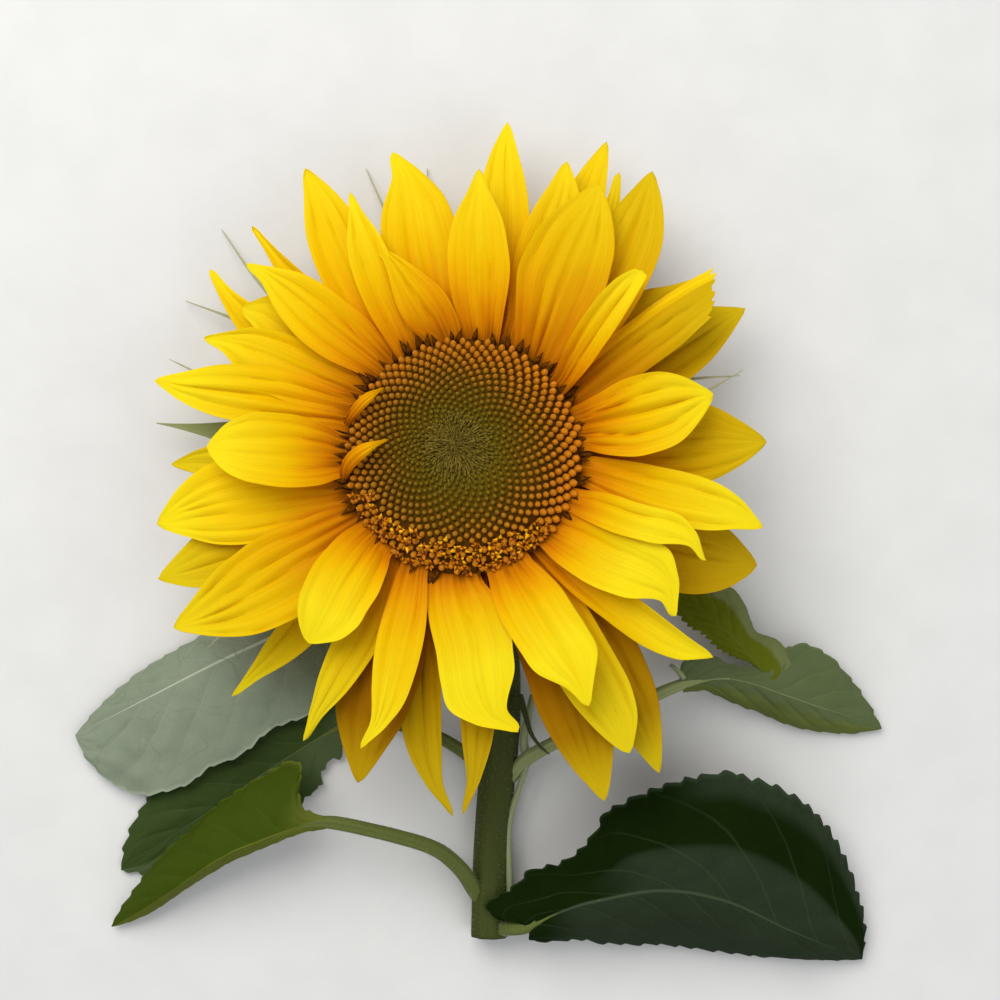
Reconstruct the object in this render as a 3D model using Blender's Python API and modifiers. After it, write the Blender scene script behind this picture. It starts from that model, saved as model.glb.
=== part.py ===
# A cut sunflower that lies on its back: the bloom with its ray petals, the disc of florets, the green
# head with its bracts, the bent stem down to the cut, and five leaves on their stalks.
# Metres, +Z up. The bloom faces up, the stem runs towards -Y, and the floor is z = 0.

import math
import random
from dataclasses import dataclass

import bmesh
import bpy
from mathutils import Matrix, Vector

MM = 0.001
CLEARANCE = 0.00035  # left between pieces that grow out of each other

# The head, in its own frame: its axis is +Z and the rim where the petals root is at Z = 0.
HEAD_RADIUS = 0.050
HEAD_HEIGHT = 0.054  # the rim's centre above the floor
TILT_BACK = 8.0  # degrees that the face leans towards +Y
TILT_SIDE = 4.0  # degrees that it leans towards -X

# The disc of florets
DOME_HEIGHT = 0.011
DOME_HOLLOW = 0.0015  # how far the very middle dips
DISC_FOOT = -0.0012  # its flat underside
DISC_SHOULDER = 0.003  # the top of its straight edge
SPIRALS = 34
BUD_RINGS = 10
BUD_INNER_RADIUS = 0.008
BUD_RAISE = 0.0011
RIM_BUD_RAISE = 0.0022

# The green head under the disc, and its bracts
WALL_FOOT = -0.015
HEAD_DEPTH = 0.026
NECK_RADIUS = 0.0125
BRACT_COUNT = 24
BRACT_WIDTH = 0.021
BRACT_TAIL = 0.62  # where its broad part ends, and its width there as a share of the greatest
BRACT_HOLLOW = 0.0016  # how far its middle lies below its edges at the foot
BRACT_THICK = 0.0013
BRACT_REACH = 0.126
BRACT_REACH_SPREAD = 0.011
BRACT_DROOP = 0.024  # how far a bract's tip hangs below the rim
BRACT_TOP_DROOP = 0.015  # and how much further on the side that the head leans to
BRACT_FLOOR_CLEARANCE = 0.0008
BRACT_SEED = 7

# Ray petals. Tier 0 roots highest and lies in front, tier 4 lowest and at the back.
PETAL_THICK = 0.0011
PETAL_STEPS = 7
PETAL_COLUMNS = 4
PETAL_WAIST = 0.28  # width at the root as a share of the greatest width
PETAL_BELLY = 0.5  # where along it the petal is widest
LAST_TIER = 4
ROOT_HEIGHT = (0.0020, -0.0105)  # front tier, back tier
TIP_LIFT = (0.0170, -0.0100)
ARCH = (0.0070, 0.0030)
CUP = 0.13  # how far the edges stand up, as a share of half the width
CUP_LEVEL = 0.4  # the share of that by which the middle lies below the petal's line


@dataclass
class Petal:
    root: float  # direction of its root round the head, degrees from +X towards +Y
    tip: float  # direction of its tip
    reach: float  # from the head's axis to the tip, mm
    width: float  # mm
    tier: float
    lift: float = 0.0  # tip raised above its tier's, mm
    bow: float = 0.0  # its middle stands this far left of the line from root to tip, mm


PETALS = (
    Petal(123, 118.5, 141, 26, 1.0, bow=2.5),
    Petal(117, 112.5, 129, 20, 3.0, bow=4),
    Petal(102, 103, 136, 34, 2.0, bow=-2.5),
    Petal(105, 111, 91, 19, 0.2, lift=-2),
    Petal(135, 132, 138, 15, 2.8, bow=1.5),
    Petal(131, 138, 125, 25, 1.6),
    Petal(143, 142.5, 142, 17, 4.0, bow=6),
    Petal(145, 144.5, 123, 17, 3.4, bow=1),
    Petal(148, 154.5, 124, 23, 2.2, bow=-1),
    Petal(157, 165, 137, 25, 3.0),
    Petal(81, 86.5, 122, 26, 1.0),
    Petal(75, 83, 149, 20, 3.2, bow=-1),
    Petal(62, 71, 135, 25, 2.4, bow=-1.5),
    Petal(58, 66.5, 153, 21, 4.0),
    Petal(53, 63, 128, 37, 1.0),
    Petal(47.5, 62, 141, 20, 3.2, bow=-3),
    Petal(42.5, 56.5, 146, 30, 2.0, bow=-5),
    Petal(36, 43, 105, 15, 0.0, lift=4),
    Petal(33, 37.5, 136, 25, 3.0),
    Petal(29, 31, 123, 31, 1.0),
    Petal(25.5, 29, 136, 29, 4.0),
    Petal(13, 12, 107, 33, 0.2, bow=-2.5),
    Petal(3, 2, 127, 36, 2.2),
    Petal(353, 345.5, 129, 24, 1.2, bow=-1),
    Petal(337, 335, 111, 18, 0.0, bow=3),
    Petal(320, 322, 112, 27, 0.4, lift=-3, bow=3),
    Petal(331, 338.5, 132, 31, 3.0, bow=-3),
    Petal(311.5, 320.5, 134, 14, 1.8, bow=-4),
    Petal(307, 301.5, 155, 26, 4.0, bow=5),
    Petal(300.5, 299, 142, 25, 2.4),
    Petal(292, 296.5, 118, 30, 0.0, lift=-2),
    Petal(293, 292, 155, 31, 3.4, bow=5),
    Petal(266, 281.5, 118, 31, 1.0, bow=-3),
    Petal(274, 270, 149, 20, 2.6, bow=6),
    Petal(253, 268, 150, 18, 3.8, bow=-8),
    Petal(246, 251.5, 129, 19, 0.4, lift=-4, bow=3.5),
    Petal(240.5, 252, 143, 34, 3.0),
    Petal(232, 241, 136, 18, 1.8, bow=4),
    Petal(218, 225, 141, 15, 4.0, bow=5),
    Petal(223.5, 232, 101, 29, 0.2),
    Petal(213, 211, 140, 37, 1.2, bow=4),
    Petal(204, 201, 140, 31, 3.0, bow=1.5),
    Petal(196, 192, 133, 37, 2.2, bow=-2),
    Petal(179.5, 178.5, 106, 30, 0.2),
    Petal(184.5, 180, 127, 19, 3.6),
)


@dataclass
class InnerPetal:
    """A small stray petal that bends in over the disc."""

    root: float
    tip: float
    reach: float
    width: float
    height: float  # of its tip above the rim, mm


INNER_PETALS = (
    InnerPetal(root=189, tip=175, reach=29, width=8, height=17),
    InnerPetal(root=162, tip=142, reach=41, width=6, height=14),
)

# The stem's line, from below the neck to the cut, as world points in mm: x, y, z
STEM_LINE = (
    (3.6, -8.6, 16.0),
    (6.6, -20.0, 10.2),
    (10.5, -45.0, 8.7),
    (16.3, -82.0, 8.6),
    (18.0, -107.0, 8.6),
    (16.9, -126.0, 8.7),
    (14.2, -151.0, 8.8),
    (12.3, -178.0, 8.9),
    (10.8, -211.0, 9.0),
)
STEM_RADIUS = (0.0080, 0.0087)  # under the neck, at the cut
STEM_NECK_FLARE = 1.40
STEM_FLARE_POINTS = 9  # how many of its rod's points the flare runs over
STEM_BETWEEN = 3  # points added between each two of the line's

# The leaves
LEAF_THICK = 0.0019
LEAF_STEPS = 22
LEAF_COLUMNS = 6
LEAF_TOOTH = 0.0012
LEAF_REST = 0.0012  # the lowest that a blade's middle surface lies


@dataclass
class Leaf:
    name: str
    stalk: tuple  # the stalk's line from inside the stem to the blade, mm
    stalk_radius: tuple  # at the stem and at the blade, mm
    rib: tuple  # the midrib's line from the stalk to the tip, mm
    left: tuple  # half widths left of the midrib, evenly spaced from stalk to tip, mm
    right: tuple
    fall: tuple  # degrees that the left and the right half slope down
    lobe: tuple  # how far the left and the right half reach back beside the stalk, mm


LEAVES = (
    Leaf(
        name="leaf_lower_left",
        stalk=(
            (9.5, -197.5, 8.5),
            (4.5, -190, 13),
            (-1, -180.5, 19.5),
            (-8.5, -172.5, 25),
            (-16, -168, 28),
            (-27.5, -164, 31),
            (-40.5, -160.5, 33),
            (-53.5, -158, 34),
            (-65.5, -156.8, 34),
        ),
        stalk_radius=(3.8, 3.1),
        rib=(
            (-64, -156.8, 34),
            (-84, -163.5, 33),
            (-99, -169.5, 30),
            (-112, -177, 26),
            (-125, -186, 20),
            (-139, -195.5, 13),
            (-157, -208, 3.5),
        ),
        left=(12, 23, 27, 25, 20, 12, 0),
        right=(28, 28, 26, 23, 19, 13, 0),
        fall=(72, 33),
        lobe=(3, 6),
    ),
    Leaf(
        name="leaf_upper_left",
        stalk=(
            (16, -94, 8.5),
            (5, -89, 12),
            (-10, -82, 15),
            (-28, -75, 16.5),
            (-46, -69.5, 17),
            (-57, -67, 17),
        ),
        stalk_radius=(3.5, 2.8),
        rib=(
            (-55.5, -67, 17),
            (-76, -74.5, 17),
            (-91, -81.5, 17),
            (-109.5, -90, 16),
            (-131, -101, 13),
            (-152, -112, 9),
            (-173, -123, 4),
        ),
        left=(28, 34, 38, 41, 42, 31, 0),
        right=(16, 20, 22, 22, 19, 13, 0),
        fall=(7, 42),
        lobe=(6, 3),
    ),
    Leaf(
        name="leaf_middle_left",
        stalk=(
            (14, -141, 8.5),
            (6, -134.5, 12),
            (-4.5, -126.5, 14),
            (-15.5, -121, 13),
            (-28.5, -118, 10),
            (-42, -117, 6.5),
            (-53.5, -118, 4.4),
        ),
        stalk_radius=(3.2, 2.3),
        rib=(
            (-52, -117.5, 4.2),
            (-72, -128.5, 3.6),
            (-91, -141, 3.1),
            (-111, -155, 2.8),
            (-132, -169, 2.6),
            (-153, -183, 2.4),
        ),
        left=(5, 15, 19, 19, 14, 0),
        right=(6, 20, 27, 27, 19, 0),
        fall=(1, 1),
        lobe=(0, 0),
    ),
    Leaf(
        name="leaf_lower_right",
        stalk=((11, -206, 10), (18, -206.5, 14), (23, -206, 19), (28, -204, 23.5)),
        stalk_radius=(4.0, 3.2),
        rib=(
            (26.5, -204.8, 22.5),
            (41.5, -196.5, 29),
            (58, -190.5, 34),
            (85.5, -185.5, 38),
            (113, -191, 34),
            (142, -206, 22),
            (176, -222, 5),
        ),
        left=(13, 16, 24, 44, 52, 42, 0),
        right=(14, 24, 34, 40, 38, 26, 0),
        fall=(7, 44),
        lobe=(14, 6),
    ),
    Leaf(
        name="leaf_upper_right",
        stalk=(
            (14, -146, 8.7),
            (21.9, -138.5, 11),
            (26.5, -132.7, 14),
            (34.3, -127.5, 17),
            (52.6, -118, 21),
            (68, -111, 22),
            (83, -104, 22.5),
            (98, -98, 23),
            (117, -93.3, 23),
        ),
        stalk_radius=(3.4, 2.6),
        rib=(
            (115.5, -93.6, 23),
            (130, -97, 23),
            (143, -102, 20),
            (157, -108, 15),
            (171, -114, 9.5),
            (185, -120, 3.5),
        ),
        left=(25, 34, 28, 21, 12, 0),
        right=(13, 23, 24, 20, 12, 0),
        fall=(8, 40),
        lobe=(24, 12),
    ),
)


# ---- small helpers


def clear_scene():
    for thing in list(bpy.data.objects):
        bpy.data.objects.remove(thing, do_unlink=True)


def new_collection(name):
    made = bpy.data.collections.new(name)
    bpy.context.scene.collection.children.link(made)
    return made


def material(name, colour, roughness):
    made = bpy.data.materials.new(name)
    made.use_nodes = True
    shader = made.node_tree.nodes["Principled BSDF"]
    shader.inputs["Base Color"].default_value = (*colour, 1.0)
    shader.inputs["Roughness"].default_value = roughness
    shader.inputs["Metallic"].default_value = 0.0
    return made


def add_object(name, data, collection, finish, parent=None):
    made = bpy.data.objects.new(name, data)
    collection.objects.link(made)
    made.data.materials.append(finish)
    made.parent = parent
    return made


def mesh_from(bm, name, smooth=True):
    bmesh.ops.recalc_face_normals(bm, faces=bm.faces)
    mesh = bpy.data.meshes.new(name)
    bm.to_mesh(mesh)
    bm.free()
    if smooth:
        mesh.shade_smooth()
    return mesh


def polar(radius, degrees, height=0.0):
    turn = math.radians(degrees)
    return Vector((radius * math.cos(turn), radius * math.sin(turn), height))


def between(ends, share):
    return ends[0] + (ends[1] - ends[0]) * share


def bezier(a, b, c, s):
    return a * (1 - s) ** 2 + b * 2 * s * (1 - s) + c * s * s


def blend(values, s):
    """The value at share s along evenly spaced numbers or points, as a Catmull-Rom curve."""
    last = len(values) - 1
    k = min(int(s * last), last - 1)
    t = s * last - k
    b, c = values[k], values[k + 1]
    a = values[k - 1] if k else b * 2 - c
    d = values[k + 2] if k + 2 <= last else c * 2 - b
    squared = a * 2 - b * 5 + c * 4 - d
    cubed = b * 3 - a - c * 3 + d
    return (b * 2 + (c - a) * t + squared * t**2 + cubed * t**3) / 2


def heading(values, s):
    """The direction in which the curve of blend runs at share s."""
    return (blend(values, min(1.0, s + 0.005)) - blend(values, max(0.0, s - 0.005))).normalized()


def in_metres(points):
    return [Vector(point) * MM for point in points]


def smooth_line(points, steps):
    """The line through the points, with steps more between each two."""
    parts = (len(points) - 1) * (steps + 1)
    return [blend(points, k / parts) for k in range(parts + 1)]


def tube(name, line, radii, resolution=2):
    """A round rod of changing radius along the line, as a curve with filled caps."""
    curve = bpy.data.curves.new(name, "CURVE")
    curve.dimensions = "3D"
    curve.bevel_depth = 1.0
    curve.bevel_resolution = resolution
    curve.use_fill_caps = True
    spline = curve.splines.new("POLY")
    spline.points.add(len(line) - 1)
    for point, place, radius in zip(spline.points, line, radii):
        point.co = (*place, 1.0)
        point.radius = radius
    return curve


def mesh_of_curve(curve, name):
    """The curve's rod as a closed mesh, its caps welded on."""
    holder = bpy.data.objects.new(name, curve)
    bpy.context.scene.collection.objects.link(holder)
    evaluated = holder.evaluated_get(bpy.context.evaluated_depsgraph_get())
    mesh = bpy.data.meshes.new_from_object(evaluated)
    bpy.data.objects.remove(holder)
    bm = bmesh.new()
    bm.from_mesh(mesh)
    bpy.data.meshes.remove(mesh)
    bmesh.ops.remove_doubles(bm, verts=bm.verts, dist=1e-6)
    return mesh_from(bm, name)


def sheet_mesh(name, steps, columns, place):
    """A grid whose point at share s along and v across, from -1 to 1, is put at place(s, v)."""
    bm = bmesh.new()
    bmesh.ops.create_grid(bm, x_segments=steps, y_segments=columns, size=1.0)
    for vertex in bm.verts:
        vertex.co = place((vertex.co.x + 1) / 2, vertex.co.y)
    bmesh.ops.remove_doubles(bm, verts=bm.verts, dist=1e-5)
    return mesh_from(bm, name)


def thicken(thing, thickness):
    wall = thing.modifiers.new("Thickness", "SOLIDIFY")
    wall.thickness = thickness
    wall.offset = 0.0
    wall.use_even_offset = True


def join_into(thing, others):
    """One Boolean union of the thing with the other objects, applied."""
    sunk = new_collection("joined")
    for other in others:
        sunk.objects.link(other)
    union = thing.modifiers.new("Join", "BOOLEAN")
    union.operation = "UNION"
    union.operand_type = "COLLECTION"
    union.collection = sunk
    evaluated = thing.evaluated_get(bpy.context.evaluated_depsgraph_get())
    joined = bpy.data.meshes.new_from_object(evaluated)
    thing.modifiers.clear()
    thing.data = joined
    for other in others:
        bpy.data.objects.remove(other)
    bpy.data.collections.remove(sunk)


# ---- the head


def turn_profile(bm, profile):
    """Turns the line of points once round the Z axis, in as many steps as the disc has spirals."""
    verts = [bm.verts.new(point) for point in profile]
    edges = [bm.edges.new(pair) for pair in zip(verts, verts[1:])]
    whole = verts + edges
    about = {"cent": (0, 0, 0), "axis": (0, 0, 1), "angle": math.tau}
    bmesh.ops.spin(bm, geom=whole, steps=SPIRALS, use_merge=True, **about)
    bmesh.ops.remove_doubles(bm, verts=bm.verts, dist=1e-6)


def dome_height(radius):
    """Height of the disc's face at this distance from its axis."""
    share = min(1.0, radius / HEAD_RADIUS)
    dome = DISC_SHOULDER + (DOME_HEIGHT - DISC_SHOULDER) * (1 - share**3.2)
    return dome - DOME_HOLLOW * math.exp(-((radius / 0.009) ** 2))


def disc_mesh():
    """A domed disc whose face is a net of crossed spirals, one bud raised in each of its cells."""
    bm = bmesh.new()
    shrink = (BUD_INNER_RADIUS / HEAD_RADIUS) ** (1 / BUD_RINGS)
    radii = [HEAD_RADIUS * shrink**k for k in range(BUD_RINGS + 1)]
    half_cell = 180 / SPIRALS
    profile = [Vector((0, 0, DISC_FOOT)), polar(HEAD_RADIUS, 0, DISC_FOOT)]
    profile += [polar(r, k * half_cell, dome_height(r)) for k, r in enumerate(radii)]
    profile.append(Vector((0, 0, dome_height(0))))
    turn_profile(bm, profile)
    bmesh.ops.recalc_face_normals(bm, faces=bm.faces)
    cells = [f for f in bm.faces if len(f.verts) == 4 and f.calc_center_median().z > DISC_SHOULDER]
    rim_line = HEAD_RADIUS * (1 + shrink) / 2 * 0.99
    rim = [f for f in cells if f.calc_center_median().xy.length > rim_line]
    inner = [f for f in cells if f not in set(rim)]
    bmesh.ops.poke(bm, faces=inner, offset=BUD_RAISE)
    bmesh.ops.poke(bm, faces=rim, offset=RIM_BUD_RAISE)
    return mesh_from(bm, "disc", smooth=False)


def bowl_mesh():
    """The fleshy green head: a straight wall, then a rounded underside in to the neck."""
    bm = bmesh.new()
    profile = (
        (0, DISC_FOOT - CLEARANCE),
        (HEAD_RADIUS, DISC_FOOT - CLEARANCE),
        (HEAD_RADIUS, WALL_FOOT),
        (HEAD_RADIUS * 0.90, WALL_FOOT - 0.0035),
        (HEAD_RADIUS * 0.66, WALL_FOOT - 0.0070),
        (HEAD_RADIUS * 0.40, WALL_FOOT - 0.0090),
        (NECK_RADIUS, -HEAD_DEPTH),
        (0, -HEAD_DEPTH),
    )
    turn_profile(bm, [(radius, 0, height) for radius, height in profile])
    return mesh_from(bm, "head_bowl")


def head_matrix():
    lean_back = Matrix.Rotation(-math.radians(TILT_BACK), 4, "X")
    lean_side = Matrix.Rotation(-math.radians(TILT_SIDE), 4, "Y")
    return Matrix.Translation((0, 0, HEAD_HEIGHT)) @ lean_back @ lean_side


def floor_below(point):
    """Height of the floor in the head's frame, under this point of that frame."""
    matrix = head_matrix()
    up = matrix.to_3x3().col[2]
    flat = matrix @ Vector((point.x, point.y, 0))
    return -flat.z / up.z


def bract_mesh(turn, reach, height):
    """A green bract: broad at its foot inside the head's wall, then drawn out to a long thin tip."""
    foot = polar(HEAD_RADIUS * 0.93, turn, height)
    leaning = max(0.0, math.sin(math.radians(turn - 15)))
    tip = polar(reach, turn, -BRACT_DROOP - BRACT_TOP_DROOP * leaning)
    tip.z = max(tip.z, floor_below(tip) + BRACT_FLOOR_CLEARANCE)
    middle = polar(reach * BRACT_TAIL, turn, height + 0.002)
    side = polar(1, turn + 90)

    def place(s, v):
        belly = math.sin(math.pi * min(1.0, s / BRACT_TAIL) ** 0.8)
        half = BRACT_WIDTH / 2 * max(belly, BRACT_TAIL * (1 - s) ** 1.1 + 0.05)
        hollow = Vector((0, 0, BRACT_HOLLOW * (v * v - 1) * (1 - s)))
        return bezier(foot, middle, tip, s) + side * (v * half) + hollow

    return sheet_mesh("bract", 6, 2, place)


def bract_objects(collection, finish):
    draw = random.Random(BRACT_SEED)
    made = []
    for k in range(BRACT_COUNT):
        turn = 360 / BRACT_COUNT * k + draw.uniform(-3, 3)
        reach = BRACT_REACH + draw.uniform(-1, 1) * BRACT_REACH_SPREAD
        height = WALL_FOOT + (0.0018 if k % 2 else -0.0004)
        bract = add_object(f"bract_{k}", bract_mesh(turn, reach, height), collection, finish)
        thicken(bract, BRACT_THICK)
        made.append(bract)
    return made


# ---- petals


def petal_share(s):
    """Width at share s along a petal, as a share of its greatest width."""
    if s < PETAL_BELLY:
        return PETAL_WAIST + (1 - PETAL_WAIST) * math.sin(math.pi / 2 * s / PETAL_BELLY)
    t = (s - PETAL_BELLY) / (1 - PETAL_BELLY)
    return (1 - t**2.2) ** 0.8


def petal_mesh(petal, name):
    """A petal in its own frame: it roots at the origin and sets off along +X."""
    root = polar(HEAD_RADIUS + CLEARANCE, petal.root)
    across = Matrix.Rotation(-math.radians(petal.root), 3, "Z")
    tier = petal.tier / LAST_TIER
    tip = across @ (polar(petal.reach * MM, petal.tip) - root)
    tip.z = between(TIP_LIFT, tier) + petal.lift * MM
    arch = between(ARCH, tier)
    bend = tip / 2 + Vector((-tip.y, tip.x, 0)).normalized() * petal.bow * MM * 2
    bend.z += arch * 2
    half = petal.width * MM / 2

    def place(s, v):
        centre = bezier(Vector(), bend, tip, s)
        along = (bezier(Vector(), bend, tip, s + 0.01) - bezier(Vector(), bend, tip, s - 0.01)).normalized()
        along = along.lerp(Vector((1, 0, 0)), (1 - s) ** 4)  # the root's edge follows the rim
        side = Vector((0, 0, 1)).cross(along).normalized()
        up = along.cross(side)
        here = half * petal_share(s)
        return centre + side * (v * here) + up * (CUP * here * (v * v - CUP_LEVEL))

    return sheet_mesh(name, PETAL_STEPS, PETAL_COLUMNS, place)


def add_petals(collection, finish, head):
    for number, petal in enumerate(PETALS, start=1):
        name = f"petal_{number:02d}"
        made = add_object(name, petal_mesh(petal, name), collection, finish, head)
        height = between(ROOT_HEIGHT, petal.tier / LAST_TIER)
        made.location = polar(HEAD_RADIUS + CLEARANCE, petal.root, height)
        made.rotation_euler.z = math.radians(petal.root)
        thicken(made, PETAL_THICK)


def inner_petal_mesh(petal, name):
    """A stray petal that roots on the rim and arches in over the disc."""
    root = polar(HEAD_RADIUS + 0.0012, petal.root, 0.0035)
    tip = polar(petal.reach * MM, petal.tip, petal.height * MM)
    bend = polar(HEAD_RADIUS * 0.95, (petal.root + petal.tip) / 2, petal.height * MM + 0.005)
    half = petal.width * MM / 2

    def place(s, v):
        centre = bezier(root, bend, tip, s)
        along = (bezier(root, bend, tip, s + 0.01) - bezier(root, bend, tip, s - 0.01)).normalized()
        side = Vector((0, 0, 1)).cross(along).normalized()
        here = half * (petal_share(s) if s < 0.97 else 0.25)
        return centre + side * (v * here) + along.cross(side) * (0.3 * here * v * v)

    return sheet_mesh(name, 5, 2, place)


def add_inner_petals(collection, finish, head):
    for number, petal in enumerate(INNER_PETALS, start=1):
        name = f"inner_petal_{number}"
        made = add_object(name, inner_petal_mesh(petal, name), collection, finish, head)
        thicken(made, PETAL_THICK)


# ---- stem and leaves


def stem_tube(name, extra=0.0):
    """The stem's rod. The extra radius makes the cutter that leaves room for it in a leaf stalk."""
    down = -head_matrix().col[2].xyz
    neck = head_matrix() @ Vector((0, 0, -HEAD_DEPTH - CLEARANCE))
    line = smooth_line([neck, neck + down * 0.0035, *in_metres(STEM_LINE)], STEM_BETWEEN)
    line.insert(1, neck + down * 0.0004)  # the top is cut square to the head's axis
    last = len(line) - 1
    radii = []
    for k in range(len(line)):
        flare = 1 + (STEM_NECK_FLARE - 1) * max(0.0, 1 - k / STEM_FLARE_POINTS) ** 2
        radii.append(between(STEM_RADIUS, k / last) * flare + extra)
    return mesh_of_curve(tube(name, line, radii, resolution=3), name)


def stalk_tube(leaf, name, extra=0.0):
    """A leaf stalk's rod. The extra radius and length make the cutter that clears the blade."""
    line = smooth_line(in_metres(leaf.stalk), 2)
    last = len(line) - 1
    radii = [between(leaf.stalk_radius, (k / last) ** 0.6) * MM + extra for k in range(len(line))]
    line[-1] += (line[-1] - line[-2]).normalized() * extra
    return mesh_of_curve(tube(name, line, radii), name)


def cut_clear(thing, cutter):
    cut = thing.modifiers.new(f"Clear of {cutter.name}", "BOOLEAN")
    cut.operation = "DIFFERENCE"
    cut.object = cutter


def add_cutter(mesh, helpers, finish):
    cutter = add_object(mesh.name, mesh, helpers, finish)
    cutter.hide_render = True
    cutter.display_type = "WIRE"
    return cutter


def leaf_mesh(leaf):
    """A blade whose halves slope down from the midrib and reach back beside the stalk."""
    rib = in_metres(leaf.rib)

    def place(s, v):
        along = heading(rib, s)
        side = Vector((0, 0, 1)).cross(along).normalized()
        half = 0 if v > 0 else 1
        reach = max(0.0, blend((leaf.left, leaf.right)[half], s)) * MM
        if abs(v) > 0.99 and 0 < s < 1:
            reach += LEAF_TOOTH * (1 if round(s * LEAF_STEPS) % 2 else -1)
        slope = math.radians(leaf.fall[half]) * (0.7 + 0.3 * abs(v))
        out = side * math.copysign(math.cos(slope), v) - Vector((0, 0, math.sin(slope)))
        back = along.xy.to_3d() * (leaf.lobe[half] * MM * (1 - s) ** 5 * v * v)
        point = blend(rib, s) + out * (abs(v) * reach) - back
        point.z = max(point.z, LEAF_REST)
        return point

    return sheet_mesh(leaf.name, LEAF_STEPS, LEAF_COLUMNS, place)


def add_leaves(collection, helpers, blade_finish, stalk_finish, stem_room):
    for leaf in LEAVES:
        name = leaf.name.replace("leaf", "stalk")
        stalk = add_object(name, stalk_tube(leaf, name), collection, stalk_finish)
        cut_clear(stalk, stem_room)
        stalk_room = add_cutter(stalk_tube(leaf, f"{name}_room", CLEARANCE), helpers, stalk_finish)
        blade = add_object(leaf.name, leaf_mesh(leaf), collection, blade_finish)
        thicken(blade, LEAF_THICK)
        cut_clear(blade, stalk_room)


# ---- the whole flower


def centre_on_floor(collection, root):
    """Moves the root so that the middle of the flower's box is over the origin and its foot at z = 0."""
    bpy.context.view_layer.update()
    graph = bpy.context.evaluated_depsgraph_get()
    corners = []
    for thing in collection.objects:
        if thing.type != "MESH" or thing.hide_render:
            continue
        evaluated = thing.evaluated_get(graph)
        corners += [evaluated.matrix_world @ vertex.co for vertex in evaluated.data.vertices]
    low = Vector([min(c[axis] for c in corners) for axis in range(3)])
    high = Vector([max(c[axis] for c in corners) for axis in range(3)])
    root.location = (-(low.x + high.x) / 2, -(low.y + high.y) / 2, -low.z)


def main():
    clear_scene()
    flower = new_collection("cut_sunflower")
    helpers = new_collection("cutters")

    petal_finish = material("petal", (0.93, 0.55, 0.01), 0.55)
    disc_finish = material("disc", (0.20, 0.10, 0.01), 0.8)
    green_finish = material("head_green", (0.13, 0.22, 0.04), 0.7)
    stem_finish = material("stem", (0.17, 0.22, 0.06), 0.65)
    leaf_finish = material("leaf", (0.07, 0.16, 0.03), 0.55)

    root = bpy.data.objects.new("flower_place", None)
    flower.objects.link(root)
    head = bpy.data.objects.new("head_place", None)
    flower.objects.link(head)
    head.parent = root
    head.matrix_local = head_matrix()

    add_object("disc", disc_mesh(), flower, disc_finish, head)
    bowl = add_object("head", bowl_mesh(), flower, green_finish)
    join_into(bowl, bract_objects(helpers, green_finish))
    bowl.parent = head
    add_petals(flower, petal_finish, head)
    add_inner_petals(flower, petal_finish, head)

    add_object("stem", stem_tube("stem"), flower, stem_finish)
    stem_room = add_cutter(stem_tube("stem_room", CLEARANCE), helpers, stem_finish)
    add_leaves(flower, helpers, leaf_finish, stem_finish, stem_room)

    for thing in [*flower.objects, *helpers.objects]:
        if thing.parent is None and thing is not root:
            thing.parent = root
    centre_on_floor(flower, root)


main()
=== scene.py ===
import math
import random

import bmesh
import bpy
from mathutils import Matrix, Vector, noise


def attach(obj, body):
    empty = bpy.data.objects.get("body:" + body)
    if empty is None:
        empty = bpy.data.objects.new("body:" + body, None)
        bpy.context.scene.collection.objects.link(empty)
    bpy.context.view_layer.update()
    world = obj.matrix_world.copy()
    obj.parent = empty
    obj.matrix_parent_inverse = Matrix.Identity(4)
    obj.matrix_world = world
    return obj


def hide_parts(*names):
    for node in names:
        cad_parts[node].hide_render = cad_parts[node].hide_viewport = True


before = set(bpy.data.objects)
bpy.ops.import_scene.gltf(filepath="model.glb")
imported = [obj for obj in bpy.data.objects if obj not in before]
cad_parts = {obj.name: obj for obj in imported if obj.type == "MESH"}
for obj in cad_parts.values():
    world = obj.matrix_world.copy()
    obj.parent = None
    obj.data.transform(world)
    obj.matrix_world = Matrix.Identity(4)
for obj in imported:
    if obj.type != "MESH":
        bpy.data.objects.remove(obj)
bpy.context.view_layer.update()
mm = 0.001

# the head: its axis is +Z of its own frame, and the rim where the petals root is at Z = 0 there
head = {
    "radius": 50 * mm,
    "height": 54 * mm,  # the rim's centre above the floor
    "tiltBack": 8.0,  # degrees towards +Y
    "tiltSide": 4.0,  # degrees towards -X
    "discFoot": -1.2 * mm,
    "shoulder": 3 * mm,
    "dome": 11 * mm,
    "hollow": 1.5 * mm,
    "depth": 26 * mm,
    "wallFoot": -15 * mm,
    "neckRadius": 12.5 * mm,
    "rib": 0.4 * mm,
    "sides": 96,
}


def polar(radius, degrees, height=0.0):
    turn = math.radians(degrees)
    return Vector((radius * math.cos(turn), radius * math.sin(turn), height))


def between(ends, share):
    return ends[0] + (ends[1] - ends[0]) * share


def clamp(value):
    return max(0.0, min(1.0, value))


def smooth(low, high, value):
    t = clamp((value - low) / (high - low))
    return t * t * (3 - 2 * t)


def bezier(a, b, c, s):
    return a * (1 - s) ** 2 + b * 2 * s * (1 - s) + c * s * s


def bezierHeading(a, b, c, s, step=0.01):
    return (bezier(a, b, c, s + step) - bezier(a, b, c, s - step)).normalized()


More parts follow.
